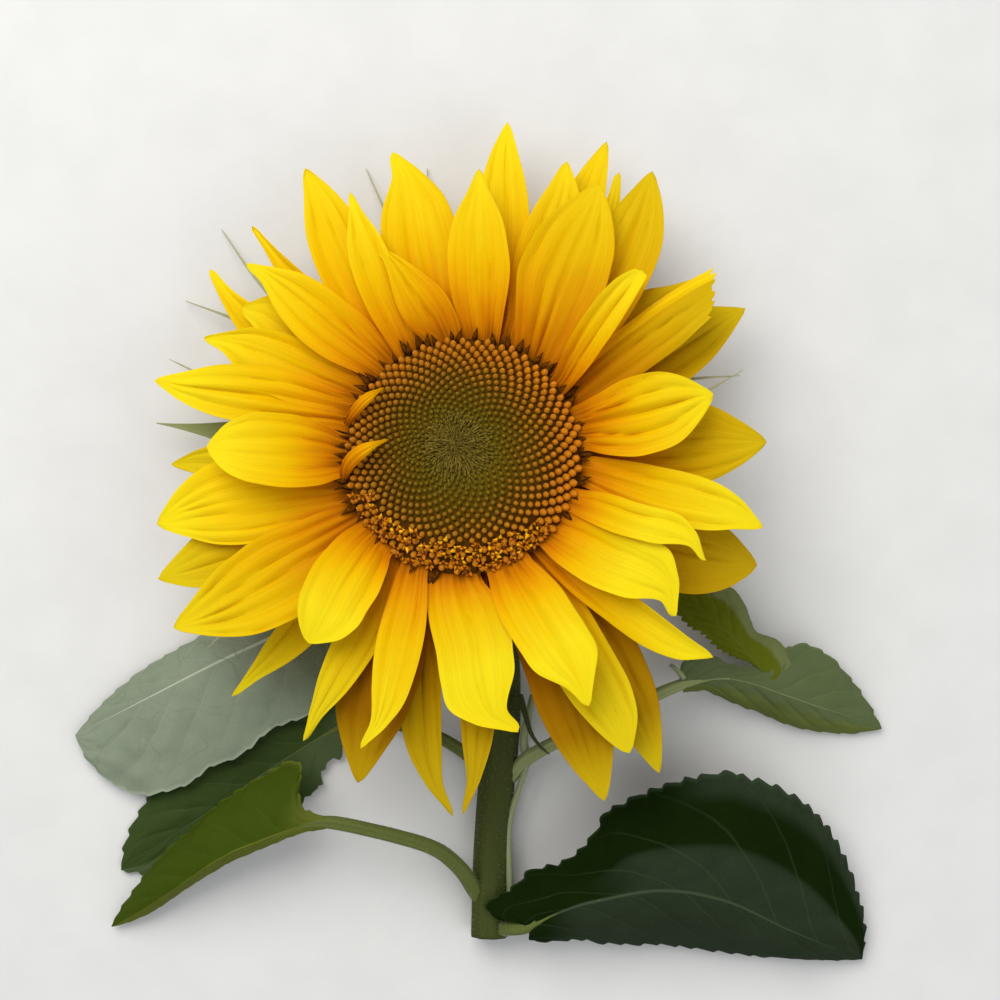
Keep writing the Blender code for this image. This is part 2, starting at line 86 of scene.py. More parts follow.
# the value at share s along evenly spaced numbers or points, as a Catmull-Rom curve
def blendAlong(values, s):
    last = len(values) - 1
    k = min(int(s * last), last - 1)
    t = s * last - k
    b, c = values[k], values[k + 1]
    a = values[k - 1] if k else b * 2 - c
    d = values[k + 2] if k + 2 <= last else c * 2 - b
    squared = a * 2 - b * 5 + c * 4 - d
    cubed = b * 3 - a - c * 3 + d
    return (b * 2 + (c - a) * t + squared * t**2 + cubed * t**3) / 2


# the same curve as evenly spaced points
def evenLine(points, count):
    fine = [blendAlong(points, k / (count * 4)) for k in range(count * 4 + 1)]
    run = [0.0]
    for a, b in zip(fine, fine[1:]):
        run.append(run[-1] + (b - a).length)
    line, k = [], 0
    for step in range(count + 1):
        goal = run[-1] * step / count
        while k < len(fine) - 2 and run[k + 1] < goal:
            k += 1
        share = clamp((goal - run[k]) / max(run[k + 1] - run[k], 1e-9))
        line.append(between((fine[k], fine[k + 1]), share))
    return line


def headingAlong(values, s, step=0.005):
    ahead, behind = blendAlong(values, min(1.0, s + step)), blendAlong(values, max(0.0, s - step))
    return (ahead - behind).normalized()


def wobble(x, y, z=0.0):
    return noise.noise(Vector((x, y, z)))


# where the head stands: the middle of the disc's flat foot, found on the frame's own disc
def findHead():
    leanBack = Matrix.Rotation(-math.radians(head["tiltBack"]), 3, "X")
    lean = leanBack @ Matrix.Rotation(-math.radians(head["tiltSide"]), 3, "Y")
    own = [lean.transposed() @ v.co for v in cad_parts["disc"].data.vertices]
    low = min(p.z for p in own)
    foot = [p for p in own if p.z < low + 0.05 * mm]
    middle = Vector([(min(p[i] for p in foot) + max(p[i] for p in foot)) / 2 for i in range(3)])
    middle.z -= head["discFoot"]
    return Matrix.Translation(lean @ middle) @ lean.to_4x4()


headPlace = findHead()
# from the place where the flower's points are given to its place in the frame
shift = headPlace.translation - Vector((0, 0, head["height"]))


def placed(point):
    return Vector(point) * mm + shift


crispAngle = 0.9  # radians between two faces past which the edge between them is drawn crisp


# gives a sheet its thickness, with a crisp rim
def thicken(bm, thick):
    bm.normal_update()
    near = [(vertex, vertex.normal.copy()) for vertex in bm.verts]
    made = bmesh.ops.extrude_face_region(bm, geom=bm.faces[:], use_keep_orig=True)["geom"]
    far = [(vertex, vertex.normal.copy()) for vertex in vertsOf(made)]
    for verts, way in ((near, -0.5), (far, 0.5)):
        for vertex, normal in verts:
            vertex.co += normal * (thick * way)
    bmesh.ops.recalc_face_normals(bm, faces=bm.faces)
    for edge in bm.edges:
        edge.smooth = edge.calc_face_angle(0.0) < crispAngle


def vertsOf(made):
    return [part for part in made if isinstance(part, bmesh.types.BMVert)]


def rimOf(bm):
    return [edge for edge in bm.edges if edge.is_boundary]


def finishPiece(name, bm, finish, nodes=(), thick=0.0, flat=False):
    if thick:
        thicken(bm, thick)
    mesh = bpy.data.meshes.new(name)
    bm.to_mesh(mesh)
    bm.free()
    for face in mesh.polygons:
        face.use_smooth = not flat
    mesh.materials.append(finish)
    piece = bpy.data.objects.new(name, mesh)
    bpy.context.scene.collection.objects.link(piece)
    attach(piece, "root")
    if nodes:
        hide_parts(*nodes)
    return piece


# a grid whose point at share s along and v across, from -1 to 1, goes to place(s, v); its map keeps
# s and v, and paint names an attribute and the function of s and v that fills it
def sheetGrid(steps, columns, place, paint=None):
    bm = bmesh.new()
    bmesh.ops.create_grid(bm, x_segments=steps, y_segments=columns, size=1.0)
    layer = bm.loops.layers.uv.new("surface")
    for face in bm.faces:
        for loop in face.loops:
            loop[layer].uv = ((loop.vert.co.x + 1) / 2, (loop.vert.co.y + 1) / 2)
    if paint:
        attribute, amount = paint
        values = bm.verts.layers.float.new(attribute)
        for vertex in bm.verts:
            vertex[values] = amount((vertex.co.x + 1) / 2, vertex.co.y)
    for vertex in bm.verts:
        vertex.co = place((vertex.co.x + 1) / 2, vertex.co.y)
    bmesh.ops.remove_doubles(bm, verts=bm.verts, dist=1e-6)
    bmesh.ops.recalc_face_normals(bm, faces=bm.faces)
    return bm


def markPiece(piece, **values):
    for key, value in values.items():
        layer = piece.data.attributes.new(key, "FLOAT", "POINT")
        layer.data.foreach_set("value", [value] * len(piece.data.vertices))


# the point, side, up and heading at even steps along a line, without twisting
def framesAlong(points, steps):
    line = [blendAlong(points, k / steps) for k in range(steps + 1)]
    frames = []
    up = Vector((0, 0, 1))
    for k, point in enumerate(line):
        along = (line[min(k + 1, steps)] - line[max(k - 1, 0)]).normalized()
        if k == 0 and abs(along.z) > 0.9:  # a line that starts upright
            up = Vector((0, 1, 0))
        side = up.cross(along).normalized()
        up = along.cross(side).normalized()
        frames.append((point, side, up, along))
    return frames


# a closed tube along the frames, its radius a function of the share along it and the turn round it
def tubeGrid(frames, sides, radius):
    steps = len(frames) - 1

    def place(s, v):
        point, side, up, _ = frames[round(s * steps)]
        turn = math.pi * (v + 1)
        return point + (side * math.cos(turn) + up * math.sin(turn)) * radius(s, turn)

    bm = sheetGrid(steps, sides, place)
    bmesh.ops.holes_fill(bm, edges=rimOf(bm), sides=0)
    bmesh.ops.recalc_face_normals(bm, faces=bm.faces)
    return bm


# many copies of small shapes joined into one mesh
def joinCopies(copies):
    joined = bmesh.new()
    for shape, matrix in copies:
        one = shape.copy()
        one.transform(matrix)
        joined.from_mesh(one)
        bpy.data.meshes.remove(one)
    return joined


def asShape(bm, name):
    bmesh.ops.recalc_face_normals(bm, faces=bm.faces)
    mesh = bpy.data.meshes.new(name)
    bm.to_mesh(mesh)
    bm.free()
    return mesh


# a matrix that stands a shape's +Z along a direction, at a place
def standing(point, direction, spin, scale):
    turn = direction.to_track_quat("Z", "Y").to_matrix().to_4x4()
    size = Matrix.Diagonal((*scale, 1.0))
    return Matrix.Translation(point) @ turn @ Matrix.Rotation(spin, 4, "Z") @ size


# the same, with the shape's +Y turned towards another direction
def facing(point, direction, towards, scale):
    side = towards.cross(direction).normalized()
    turn = Matrix((side, direction.cross(side), direction)).transposed().to_4x4()
    return Matrix.Translation(point) @ turn @ Matrix.Diagonal((*scale, 1.0))


class Finish:
    def __init__(self, name):
        self.material = bpy.data.materials.new(name)
        self.material.use_nodes = True
        self.tree = self.material.node_tree
        self.shader = self.tree.nodes["Principled BSDF"]
        self.output = self.tree.nodes["Material Output"]

    def add(self, kind, **settings):
        node = self.tree.nodes.new("ShaderNode" + kind)
        for key, value in settings.items():
            setattr(node, key, value)
        return node

    def link(self, source, target):
        self.tree.links.new(source, target)

    # sets each socket to its number or colour, or links it
    def fill(self, sockets, values):
        for socket, value in zip(sockets, values):
            if isinstance(value, (int, float)):
                socket.default_value = value
            elif isinstance(value, tuple):
                socket.default_value = (*value, 1.0)
            elif value is not None:
                self.link(value, socket)

    def math(self, operation, a, b=None, clamped=False):
        node = self.add("Math", operation=operation, use_clamp=clamped)
        self.fill(node.inputs, (a, b))
        return node.outputs[0]

    def plus(self, a, b, clamped=False):
        return self.math("ADD", a, b, clamped)

    def minus(self, a, b):
        return self.math("SUBTRACT", a, b)

    def times(self, a, b, clamped=False):
        return self.math("MULTIPLY", a, b, clamped)

    def split(self, vector):
        node = self.add("SeparateXYZ")
        self.link(vector, node.inputs[0])
        return node.outputs

    def join(self, x, y, z):
        node = self.add("CombineXYZ")
        self.fill(node.inputs, (x, y, z))
        return node.outputs[0]

    def surface(self):
        return self.add("UVMap", uv_map="surface").outputs[0]

    def place(self):
        return self.add("TexCoord").outputs["Object"]

    def attribute(self, name):
        return self.add("Attribute", attribute_name=name).outputs["Fac"]

    def noise(self, vector, scale, detail=3.0, rough=0.5, distortion=0.0):
        node = self.add("TexNoise")
        self.link(vector, node.inputs["Vector"])
        node.inputs["Scale"].default_value = scale
        node.inputs["Detail"].default_value = detail
        node.inputs["Roughness"].default_value = rough
        node.inputs["Distortion"].default_value = distortion
        return node.outputs["Fac"]

    # noise that follows the piece's own map and repeats so often along and across it
    def grain(self, u, v, repeats, seed=0.0, detail=3.0, rough=0.5):
        spot = self.join(self.times(u, repeats[0]), self.times(v, repeats[1]), seed)
        return self.noise(spot, 1.0, detail, rough)

    def ramp(self, value, stops):
        node = self.add("ValToRGB")
        self.link(value, node.inputs[0])
        row = node.color_ramp.elements
        while len(row) < len(stops):
            row.new(0.5)
        for element, (position, colour) in zip(row, stops):
            element.position = position
            element.color = (*colour, 1.0)
        return node.outputs[0]

    def mix(self, factor, a, b, blend="MIX"):
        node = self.add("Mix", data_type="RGBA", blend_type=blend)
        self.fill((node.inputs[0], node.inputs[6], node.inputs[7]), (factor, a, b))
        return node.outputs[2]

    # 1 below low, 0 above high
    def fade(self, value, low, high):
        node = self.add("MapRange", interpolation_type="SMOOTHSTEP")
        self.link(value, node.inputs["Value"])
        node.inputs["From Min"].default_value = low
        node.inputs["From Max"].default_value = high
        node.inputs["To Min"].default_value = 1.0
        node.inputs["To Max"].default_value = 0.0
        return node.outputs[0]

    def bump(self, height, distance, strength=1.0):
        node = self.add("Bump")
        node.inputs["Distance"].default_value = distance
        node.inputs["Strength"].default_value = strength
        self.link(height, node.inputs["Height"])
        return node.outputs[0]

    def dress(self, colour, normal, rough, specular):
        self.link(colour, self.shader.inputs["Base Color"])
        self.link(normal, self.shader.inputs["Normal"])
        self.shader.inputs["Roughness"].default_value = rough
        self.shader.inputs["Specular IOR Level"].default_value = specular

    # a thin leaf or petal lets some light through from behind
    def translucent(self, colour, share, normal):
        through = self.add("BsdfTranslucent")
        self.link(colour, through.inputs["Color"])
        self.link(normal, through.inputs["Normal"])
        mixed = self.add("MixShader")
        mixed.inputs[0].default_value = share
        self.link(self.shader.outputs[0], mixed.inputs[1])
        self.link(through.outputs[0], mixed.inputs[2])
        self.link(mixed.outputs[0], self.output.inputs[0])


petalFinish = {
    "ramp": (
        (0.0, (0.43, 0.118, 0.0004)),
        (0.10, (0.73, 0.245, 0.0005)),
        (0.27, (0.87, 0.42, 0.0006)),
        (0.50, (0.91, 0.60, 0.0010)),
        (1.0, (0.95, 0.80, 0.0120)),
    ),
    "streaks": (1.3, 16.0),  # how often they repeat along and across
    "veins": (0.7, 46.0),
    "clouds": (3.0, 3.0),
    "streakShift": 0.34,  # how far streaks and clouds move the colours along the petal
    "cloudShift": 0.22,
    "valley": (0.88, 0.82, 0.70),  # the tint between two veins
    "through": 0.33,
    "shadow": (0.40, 0.215, 0.06),  # the tint of a petal whose shade is 0
    "rough": 0.5,
    "specular": 0.03,
}


def petalMaterial():
    m = Finish("petal yellow")
    u, v, _ = m.split(m.surface())
    seed = m.times(m.attribute("seed"), 7.31)
    streak = m.grain(u, v, petalFinish["streaks"], seed, 4.0, 0.6)
    vein = m.grain(u, v, petalFinish["veins"], seed, 2.0)
    cloud = m.grain(u, v, petalFinish["clouds"], seed, 2.0)
    along = m.math("DIVIDE", m.times(u, 0.3), m.attribute("orange"))
    along = m.plus(along, m.times(m.minus(streak, 0.5), petalFinish["streakShift"]))
    along = m.plus(along, m.times(m.minus(cloud, 0.5), petalFinish["cloudShift"]), clamped=True)
    colour = m.ramp(along, petalFinish["ramp"])
    lines = m.ramp(vein, ((0.30, petalFinish["valley"]), (0.62, (1.0, 1.0, 1.0))))
    colour = m.mix(0.5, colour, m.mix(1.0, colour, lines, "MULTIPLY"))
    # painted shade: a petal whose shade is below 1 is darkened towards the shadow tint, and lit and
    # tipShade paint full light back onto an edge or the tip
    dark = m.mix(1.0, colour, petalFinish["shadow"], "MULTIPLY")
    colour = m.mix(m.math("MAXIMUM", m.attribute("shade"), m.attribute("lit")), dark, colour)
    normal = m.bump(m.plus(m.times(streak, 0.7), m.times(vein, 0.3)), 0.0003, 0.6)
    m.dress(colour, normal, petalFinish["rough"], petalFinish["specular"])
    m.translucent(colour, petalFinish["through"], normal)
    return m.material


# a grained colour in the object's own coordinates; vary is how far it swings to dark and light
def plainMaterial(name, colour, rough, vary, scale, bump=0.0001, specular=0.4):
    m = Finish(name)
    grain = m.noise(m.place(), scale, 3.0, 0.6)
    dark = tuple(c * (1 - vary) for c in colour)
    light = tuple(min(1.0, c * (1 + vary)) for c in colour)
    m.dress(m.ramp(grain, ((0.35, dark), (0.65, light))), m.bump(grain, bump), rough, specular)
    return m.material


# the ray petals
petalForm = {
    "thick": 0.3 * mm,
    "steps": 48,
    "columns": 28,
    "lastTier": 4,
    "rootHeight": (2.0 * mm, -6.5 * mm),  # front tier, back tier
    "tipLift": (15 * mm, -9 * mm),
    "arch": (7 * mm, 3 * mm),
    "cup": 0.13,  # how far the edges stand up, as a share of half the width
    "cupLevel": 0.4,
    "tuck": 2.2 * mm,  # how far the foot reaches in under the florets
    "pleat": 0.88 * mm,
    "pleatWidth": 14 * mm,  # half the width at which a petal's pleats have that depth
    "ripple": 1.0 * mm,
    "ragged": 5.0 * mm,
    "capFrom": 0.965,  # where the tip starts to round off
    "backWaist": 0.95,
    "orange": 0.24,  # how far along it a petal is orange
    "topOrange": 0.31,  # and how far between these directions, in degrees
    "topSide": (40, 150),
    "seed": 41,
}

# half-widths at even steps from root to tip, as shares of the widest
petalShapes = {
    "lance": (0.54, 0.74, 0.91, 1.0, 0.98, 0.85, 0.52, 0.07),
    "nib": (0.58, 0.78, 0.95, 1.0, 0.95, 0.76, 0.36, 0.07),
    "spike": (0.72, 0.94, 1.0, 0.90, 0.70, 0.46, 0.24, 0.10),
    "blunt": (0.64, 0.85, 0.98, 1.0, 0.99, 0.92, 0.66, 0.10),
    "notch": (0.64, 0.85, 0.98, 1.0, 1.0, 0.93, 0.45, 0.08),
    "round": (0.60, 0.82, 0.96, 1.0, 1.0, 0.94, 0.76, 0.42),
    "oval": (0.54, 0.82, 0.96, 1.0, 0.98, 0.88, 0.63, 0.09),
    "torn": (0.62, 0.82, 0.95, 1.0, 1.0, 0.98, 0.90, 0.76),
}

# root and tip are directions in degrees, reach (from the head's axis) and width are in mm, and tier
# runs from 0 in front to 4 behind. In mm, lift raises the tip, bow bends the petal to its left, hook sets
# its body to the left of a tip that turns right, and slant skews its end. roll rolls the left edge up:
# from a share of the half-width, by a radius in mm, growing between two shares along it. shade 1 is full
# light, which lit and tipShade bring to one edge or the tip, and fold makes the pleats deeper. orange
# is how far along the petal is orange, and twist is in degrees.
petalRows = (
    dict(root=123, tip=118.5, reach=142, width=25, tier=1.6, bow=3, hook=-1, pleats=4),
    dict(root=117, tip=113, reach=122.5, width=18.5, tier=1.1, bow=1.5, shape="nib", hook=0, pleats=2),
    dict(root=102, tip=103, reach=136, width=34, tier=2.0, bow=-2.5, shape="nib", hook=-2.5, pleats=5,
         orange=0.27),
    dict(root=99.5, tip=112.6, reach=96.5, width=21, tier=0.4, lift=-6, bow=-1.5, shape="spike", hook=-1,
         shade=0.95, orange=0.42, pleats=3, cup=0.0, twist=0),
    dict(root=135, tip=132, reach=138, width=17, tier=2.8, bow=1.5, shape="spike", cup=0.4, pleats=2),
    dict(root=131, tip=138, reach=125, width=25, tier=1.6, shape="nib", hook=-1.5, pleats=4),
    dict(root=143, tip=142.5, reach=142, width=26, tier=4.0, bow=7, shape="spike", cup=0.35, pleats=2),
    dict(root=143, tip=145.2, reach=118.5, width=24, tier=3.2, shape="blunt", hook=-3, shade=0.95),
    dict(root=148, tip=154.5, reach=124, width=27, tier=2.6, bow=0.5, shape="nib", hook=-1.5, pleats=3),
    dict(root=158, tip=165.5, reach=137, width=25, tier=2.2, shape="lance", pleats=4, fold=1.8),
    dict(root=81, tip=86.5, reach=122, width=26, tier=1.0, shape="nib", pleats=4),
    dict(root=75, tip=83, reach=149, width=22.5, tier=3.2, bow=-1, shape="lance", pleats=3),
    dict(root=62, tip=71, reach=135, width=25, tier=2.4, bow=-1.5, hook=-1.5, pleats=4),
    dict(root=58, tip=66.5, reach=153, width=21, tier=4.0, pleats=4),
    dict(root=53, tip=63, reach=128, width=37, tier=1.0, hook=-1, shade=0.88, pleats=5),
    dict(root=47.5, tip=62, reach=141, width=26, tier=3.2, bow=-3, shape="spike", shade=0.9),
    dict(root=42.5, tip=56.5, reach=146, width=30, tier=2.0, bow=-5, shade=0.74, pleats=5),
    dict(root=35, tip=44, reach=106, width=14, tier=0.0, lift=3, bow=0.5, shape="round", cup=0.7,
         pleats=3, hook=0.5, fold=1.6),
    dict(root=33, tip=37.2, reach=127, width=29, tier=3.0, bow=-1, hook=0, shape="notch", shade=0.66,
         orange=0.34, pleats=4),
    dict(root=28, tip=32.4, reach=125, width=23, tier=1.0, shape="torn", shade=0.64, orange=0.32,
         pleats=4, slant=7, lit=0.50, cup=0.0, roll=(0.45, -5.0, (0.05, 0.3))),
    dict(root=23, tip=28.5, reach=136, width=31, tier=3.8, shade=0.62, orange=0.32, pleats=4),
    dict(root=13, tip=12, reach=107, width=33, tier=0.2, bow=-2.5, shape="lance", pleats=5, fold=1.5,
         orange=0.26),
    dict(root=3, tip=2, reach=127, width=36, tier=2.2, shade=0.66, orange=0.30, pleats=6, fold=1.5),
    dict(root=353, tip=345.6, reach=128.5, width=23, tier=1.2, bow=-1, hook=2, pleats=3, fold=1.4),
    dict(root=337, tip=335, reach=111, width=15, tier=0.0, bow=1.5, shape="notch", hook=4.5, pleats=2,
         orange=0.16),
    dict(root=320, tip=322, reach=112, width=28, tier=0.4, lift=-3, bow=2.5, shape="notch", hook=5.5,
         pleats=2, orange=0.19),
    dict(root=332, tip=339.3, reach=131, width=36, tier=3.0, bow=-3, shape="blunt", shade=0.35, pleats=6),
    dict(root=311.5, tip=320.5, reach=134, width=15, tier=1.8, bow=-4, shape="blunt", hook=-2, cup=0.5,
         pleats=2),
    dict(root=307, tip=301.5, reach=155, width=26, tier=4.0, bow=5, shade=0.22, tipShade=0.62,
         orange=0.30, pleats=5),
    dict(root=300.5, tip=299, reach=142, width=26, tier=2.4, shape="blunt", hook=1.5, shade=0.85,
         pleats=3),
    dict(root=292, tip=296.5, reach=118, width=28, tier=0.0, lift=-2, shape="notch", hook=1.5, pleats=3,
         orange=0.19),
    dict(root=293, tip=292, reach=155, width=31, tier=3.4, bow=5, shade=0.12, tipShade=0.54, orange=0.30,
         pleats=5),
    dict(root=266, tip=281.5, reach=118, width=32, tier=1.0, bow=-2.5, shape="notch", hook=-6, pleats=3,
         orange=0.15),
    dict(root=274, tip=270, reach=149, width=16, tier=2.6, bow=4.5, shape="nib", hook=2, shade=0.4,
         cup=0.35),
    dict(root=253, tip=268, reach=150, width=18, tier=3.8, bow=-8, shape="nib", hook=-2.5, shade=0.45),
    dict(root=246, tip=251.5, reach=129, width=19, tier=0.4, lift=-4, bow=3.5, shape="nib", hook=2.5,
         pleats=4),
    dict(root=240.5, tip=252, reach=143, width=34, tier=3.0, shade=0.04, tipShade=0.28, orange=0.30,
         pleats=5),
    dict(root=232, tip=241, reach=136, width=18, tier=1.8, bow=4, shape="nib", hook=-1.5, shade=0.85),
    dict(root=218, tip=225, reach=141, width=17, tier=4.0, bow=5, shape="nib", shade=0.85, pleats=2),
    dict(root=223.5, tip=232, reach=101, width=29, tier=0.2, shape="blunt", hook=1.5, pleats=3),
    dict(root=213, tip=211, reach=140, width=37, tier=1.2, bow=4, shade=0.92, orange=0.30, pleats=5,
         fold=1.7),
    dict(root=204, tip=201, reach=140, width=31, tier=3.0, bow=1.5, shade=0.75, pleats=5),
    dict(root=196, tip=192, reach=133, width=37, tier=2.2, bow=-2, pleats=6, fold=1.6),
    dict(root=179.5, tip=178.5, reach=106, width=31, tier=0.2, shape="oval", pleats=5, orange=0.28,
         fold=0.6),
    dict(root=184.5, tip=180, reach=127, width=20, tier=3.6, shade=0.75),
)


# the half-width at share s; petals further back are broader at the root, where those in front cover them
def petalShare(s, shape, back=0.0):
    share = max(0.0, blendAlong(petalShapes[shape], s))
    share = max(share, petalForm["backWaist"] * back * (1 - smooth(0.1, 0.5, s)))
    if shape == "torn":
        return share
    cap = clamp((s - petalForm["capFrom"]) / (1 - petalForm["capFrom"]))
    return share * math.sqrt(1 - cap * cap)


# ridges across a petal, rounded on top with a narrow valley between two of them
def ridge(turn):
    return abs(math.cos(turn)) ** 0.7 * 2 - 1


# an edge past start rolls up as an arc of the given radius, or down if that is negative: distance
# across in, distance and height out
def rollUp(distance, start, radius):
    if distance <= start:
        return distance, 0.0
    turn = (distance - start) / abs(radius)
    return start + abs(radius) * math.sin(turn), radius * (1 - math.cos(turn))


# a petal's root, the bend that it arches to and its tip, in the head's own frame
def petalLine(row, back):
    start = polar(head["radius"], row["root"], between(petalForm["rootHeight"], back))
    tip = polar(row["reach"] * mm, row["tip"])
    tip.z = start.z + between(petalForm["tipLift"], back) + row.get("lift", 0) * mm
    straight = (tip - start).xy.to_3d()
    leftward = Vector((-straight.y, straight.x, 0)).normalized()
    bend = (start + tip) / 2 + leftward * row.get("bow", 0) * mm * 2
    bend.z = (start.z + tip.z) / 2 + between(petalForm["arch"], back) * 2
    return start, bend, tip


def petalGrid(row, draw):
    back = row["tier"] / petalForm["lastTier"]
    start, bend, tip = petalLine(row, back)
    outward = polar(1, row["root"])
    half = row["width"] * mm / 2
    cup = row.get("cup", petalForm["cup"])
    shape = row.get("shape", "lance")
    roll = row.get("roll")
    phase = draw.uniform(0, 10)
    skew = draw.uniform(-0.05, 0.05)
    pleats = row.get("pleats", 3) + draw.uniform(-0.15, 0.15)
    pleat = petalForm["pleat"] * row.get("fold", 1.0) * draw.uniform(0.75, 1.2)
    pleat = pleat * (0.5 + 1.2 * half / petalForm["pleatWidth"]) / pleats**0.5
    ripple = petalForm["ripple"] * draw.uniform(0.6, 1.4)
    twist = math.radians(row.get("twist", draw.uniform(-6, 6)))
    hook = row.get("hook", draw.uniform(-1, 1)) * mm
    edges = [draw.uniform(-0.04, 0.04), draw.uniform(-0.04, 0.04)]

    # pleats with uneven depths that fade out at the root and the tip
    def pleatHeight(s, v, edge):
        slide = v + 0.22 * wobble(s * 1.3 + phase, 8.1, v * 1.3) + 0.08 * math.sin(phase * 9)
        ribs = ridge(math.pi / 2 * pleats * slide + math.pi / 2 * (pleats > 2.5))
        ribs *= 0.35 + 1.3 * clamp(0.5 + wobble(phase, v * 2.1, s * 1.3))
        opened = smooth(-0.1, 0.25, s) * (1 - smooth(0.7, 0.97, s))
        return pleat * ribs * opened * (1 - 0.6 * edge)

    def place(s, v):
        along = bezierHeading(start, bend, tip, s).lerp(outward, (1 - s) ** 4)
        side = Vector((0, 0, 1)).cross(along).normalized()
        up = along.cross(side).normalized()
        turn = Matrix.Rotation(twist * s * s, 3, along)
        side, up = turn @ side, turn @ up
        line = bezier(start, bend, tip, s)
        line = line + side * (hook * smooth(0.35, 0.82, s) * (1 - smooth(0.84, 1.0, s)))
        own = clamp(s + edges[v > 0] * math.sin(math.pi * s))  # the two edges swell at different places
        here = half * petalShare(own, shape, min(1.0, back * 1.3))
        here = here * (1 + skew * v + 0.05 * wobble(s * 5, phase, v * 0.5))
        across, raised = v * here, 0.0
        if roll and v > 0:
            begin, radius, grows = roll
            across, raised = rollUp(across, begin * here, radius * mm / max(0.05, smooth(*grows, s)))
        edge = abs(v) ** 2.5
        wave = wobble(s * 2.6 + phase, 3.7 * (1 if v > 0 else -1), 0.5) * 2.0
        raised += cup * here * (v * v - petalForm["cupLevel"])
        raised += pleatHeight(s, v, edge)
        raised += ripple * edge * wave * smooth(0.1, 0.6, s)
        foot = outward * (-petalForm["tuck"] * (1 - smooth(0.0, 0.06, s)))
        if shape == "torn":
            ragged = petalForm["ragged"] * (wobble(v * 5.5, phase, s * 2) - 0.4 * v * v)
            foot = foot + along * (ragged * smooth(0.9, 1.0, s))
            foot = foot + along * (row.get("slant", 0) * mm * v * smooth(0.5, 1.0, s))
        return headPlace @ (line + foot + side * across + up * raised)

    lit = row.get("lit", 1.2)  # past this share across, the petal is in full light

    def light(s, v):
        return max(smooth(lit - 0.1, lit, v), row.get("tipShade", 0.0) * smooth(0.60, 1.0, s))

    return sheetGrid(petalForm["steps"], petalForm["columns"], place, paint=("lit", light))


def makePetals():
    draw = random.Random(petalForm["seed"])
    finish = petalMaterial()
    first, last = petalForm["topSide"]
    for number, row in enumerate(petalRows, start=1):
        name = f"petal_{number:02d}"
        bm = petalGrid(row, draw)
        piece = finishPiece(f"ray_{name}", bm, finish, [name], petalForm["thick"])
        usual = petalForm["topOrange"] if first < row["root"] < last else petalForm["orange"]
        orange = row.get("orange", usual) * draw.uniform(0.9, 1.15)
        shade = row.get("shade", 1.0) * draw.uniform(0.95, 1.0)
        markPiece(piece, seed=float(number), orange=orange, shade=shade)
    for number, row in enumerate(innerPetals, start=1):
        name = f"inner_petal_{number}"
        bm = innerPetalGrid(row)
        piece = finishPiece(f"stray_petal_{number}", bm, finish, [name], petalForm["thick"])
        markPiece(piece, seed=60.0 + number, orange=innerForm["orange"], shade=1.0)
    print("petals made:", len(petalRows) + len(innerPetals))


# the two stray petals that bend in over the disc: directions in degrees, the rest in mm
innerPetals = (
    dict(root=191, tip=171, reach=30, width=6.0, height=16),
    dict(root=165, tip=140, reach=42, width=4.6, height=13),
)
innerForm = {
    "grid": (26, 12),
    "rootOut": 1.2 * mm,  # past the disc's rim
    "rootHeight": 3.5 * mm,
    "bendIn": 0.95,  # share of the head's radius
    "bendRise": 5 * mm,
    "crown": 0.5,  # how far the edges hang down, as a share of half the width
    "pleat": 0.3 * mm,
    "orange": 0.68,
}


def innerPetalGrid(row):
    root = polar(head["radius"] + innerForm["rootOut"], row["root"], innerForm["rootHeight"])
    tip = polar(row["reach"] * mm, row["tip"], row["height"] * mm)
    bendHeight = row["height"] * mm + innerForm["bendRise"]
    bend = polar(head["radius"] * innerForm["bendIn"], (row["root"] + row["tip"]) / 2, bendHeight)
    half = row["width"] * mm / 2

    def place(s, v):
        along = bezierHeading(root, bend, tip, s)
        side = Vector((0, 0, 1)).cross(along).normalized()
        here = half * petalShare(s, "nib")
        raised = -innerForm["crown"] * here * v * v + innerForm["pleat"] * math.cos(v * 9)
        return headPlace @ (bezier(root, bend, tip, s) + side * (v * here) + along.cross(side) * raised)

    return sheetGrid(*innerForm["grid"], place)


# the disc
discForm = {
    "florets": 980,
    "power": 0.70,  # florets stand wider apart towards the rim
    "edge": 0.985,
    "centre": (-3.2 * mm, 2.8 * mm),  # where the spirals start, off the head's axis
    "bedDrop": 1.5 * mm,
    "bedSkirt": 4.0 * mm,
    "bedGrid": (26, 96),  # rings, steps round
    "budSize": (0.56 * mm, 1.52 * mm),  # in the middle, at the rim
    "budTall": (1.15, 1.4),
    "budSunk": 0.55 * mm,
    "largeFrom": 0.84,  # past this share of the radius the florets on the right are larger
    "largeSide": (315, 15),
    "large": 1.14,
    "greenReach": 0.31,  # share of the radius inside which the florets are still green
    "warmSide": (0.88, 0.14, 0),  # they ripen further to the right: middle, swing, direction in degrees
    "seed": 12,
}

# the florets' colours, from the green ones in the middle to the ripe ones at the rim
budColours = {
    "green": (0.140, 0.090, 0.002),
    "moss": (0.175, 0.098, 0.002),
    "olive": (0.228, 0.106, 0.003),
    "brown": (0.320, 0.130, 0.003),
    "amber": (0.395, 0.144, 0.003),
    "rust": (0.435, 0.146, 0.003),
    "rim": (0.500, 0.162, 0.002),
}


def domeHeight(radius):
    share = clamp(radius / head["radius"])
    rise = head["shoulder"] + (head["dome"] - head["shoulder"]) * (1 - share**3.2)
    return rise - head["hollow"] * math.exp(-((radius / (9 * mm)) ** 2))


def domeNormal(point):
    radius = max(point.xy.length, 1e-5)
    slope = (domeHeight(radius + 1e-4) - domeHeight(radius - 1e-4)) / 2e-4
    out = point.xy.to_3d().normalized() if radius > 1e-4 else Vector((1, 0, 0))
    return (Vector((0, 0, 1)) - out * slope * 0.9).normalized()


def onDome(x, y, lift):
    return Vector((x, y, domeHeight(math.hypot(x, y)) + lift))


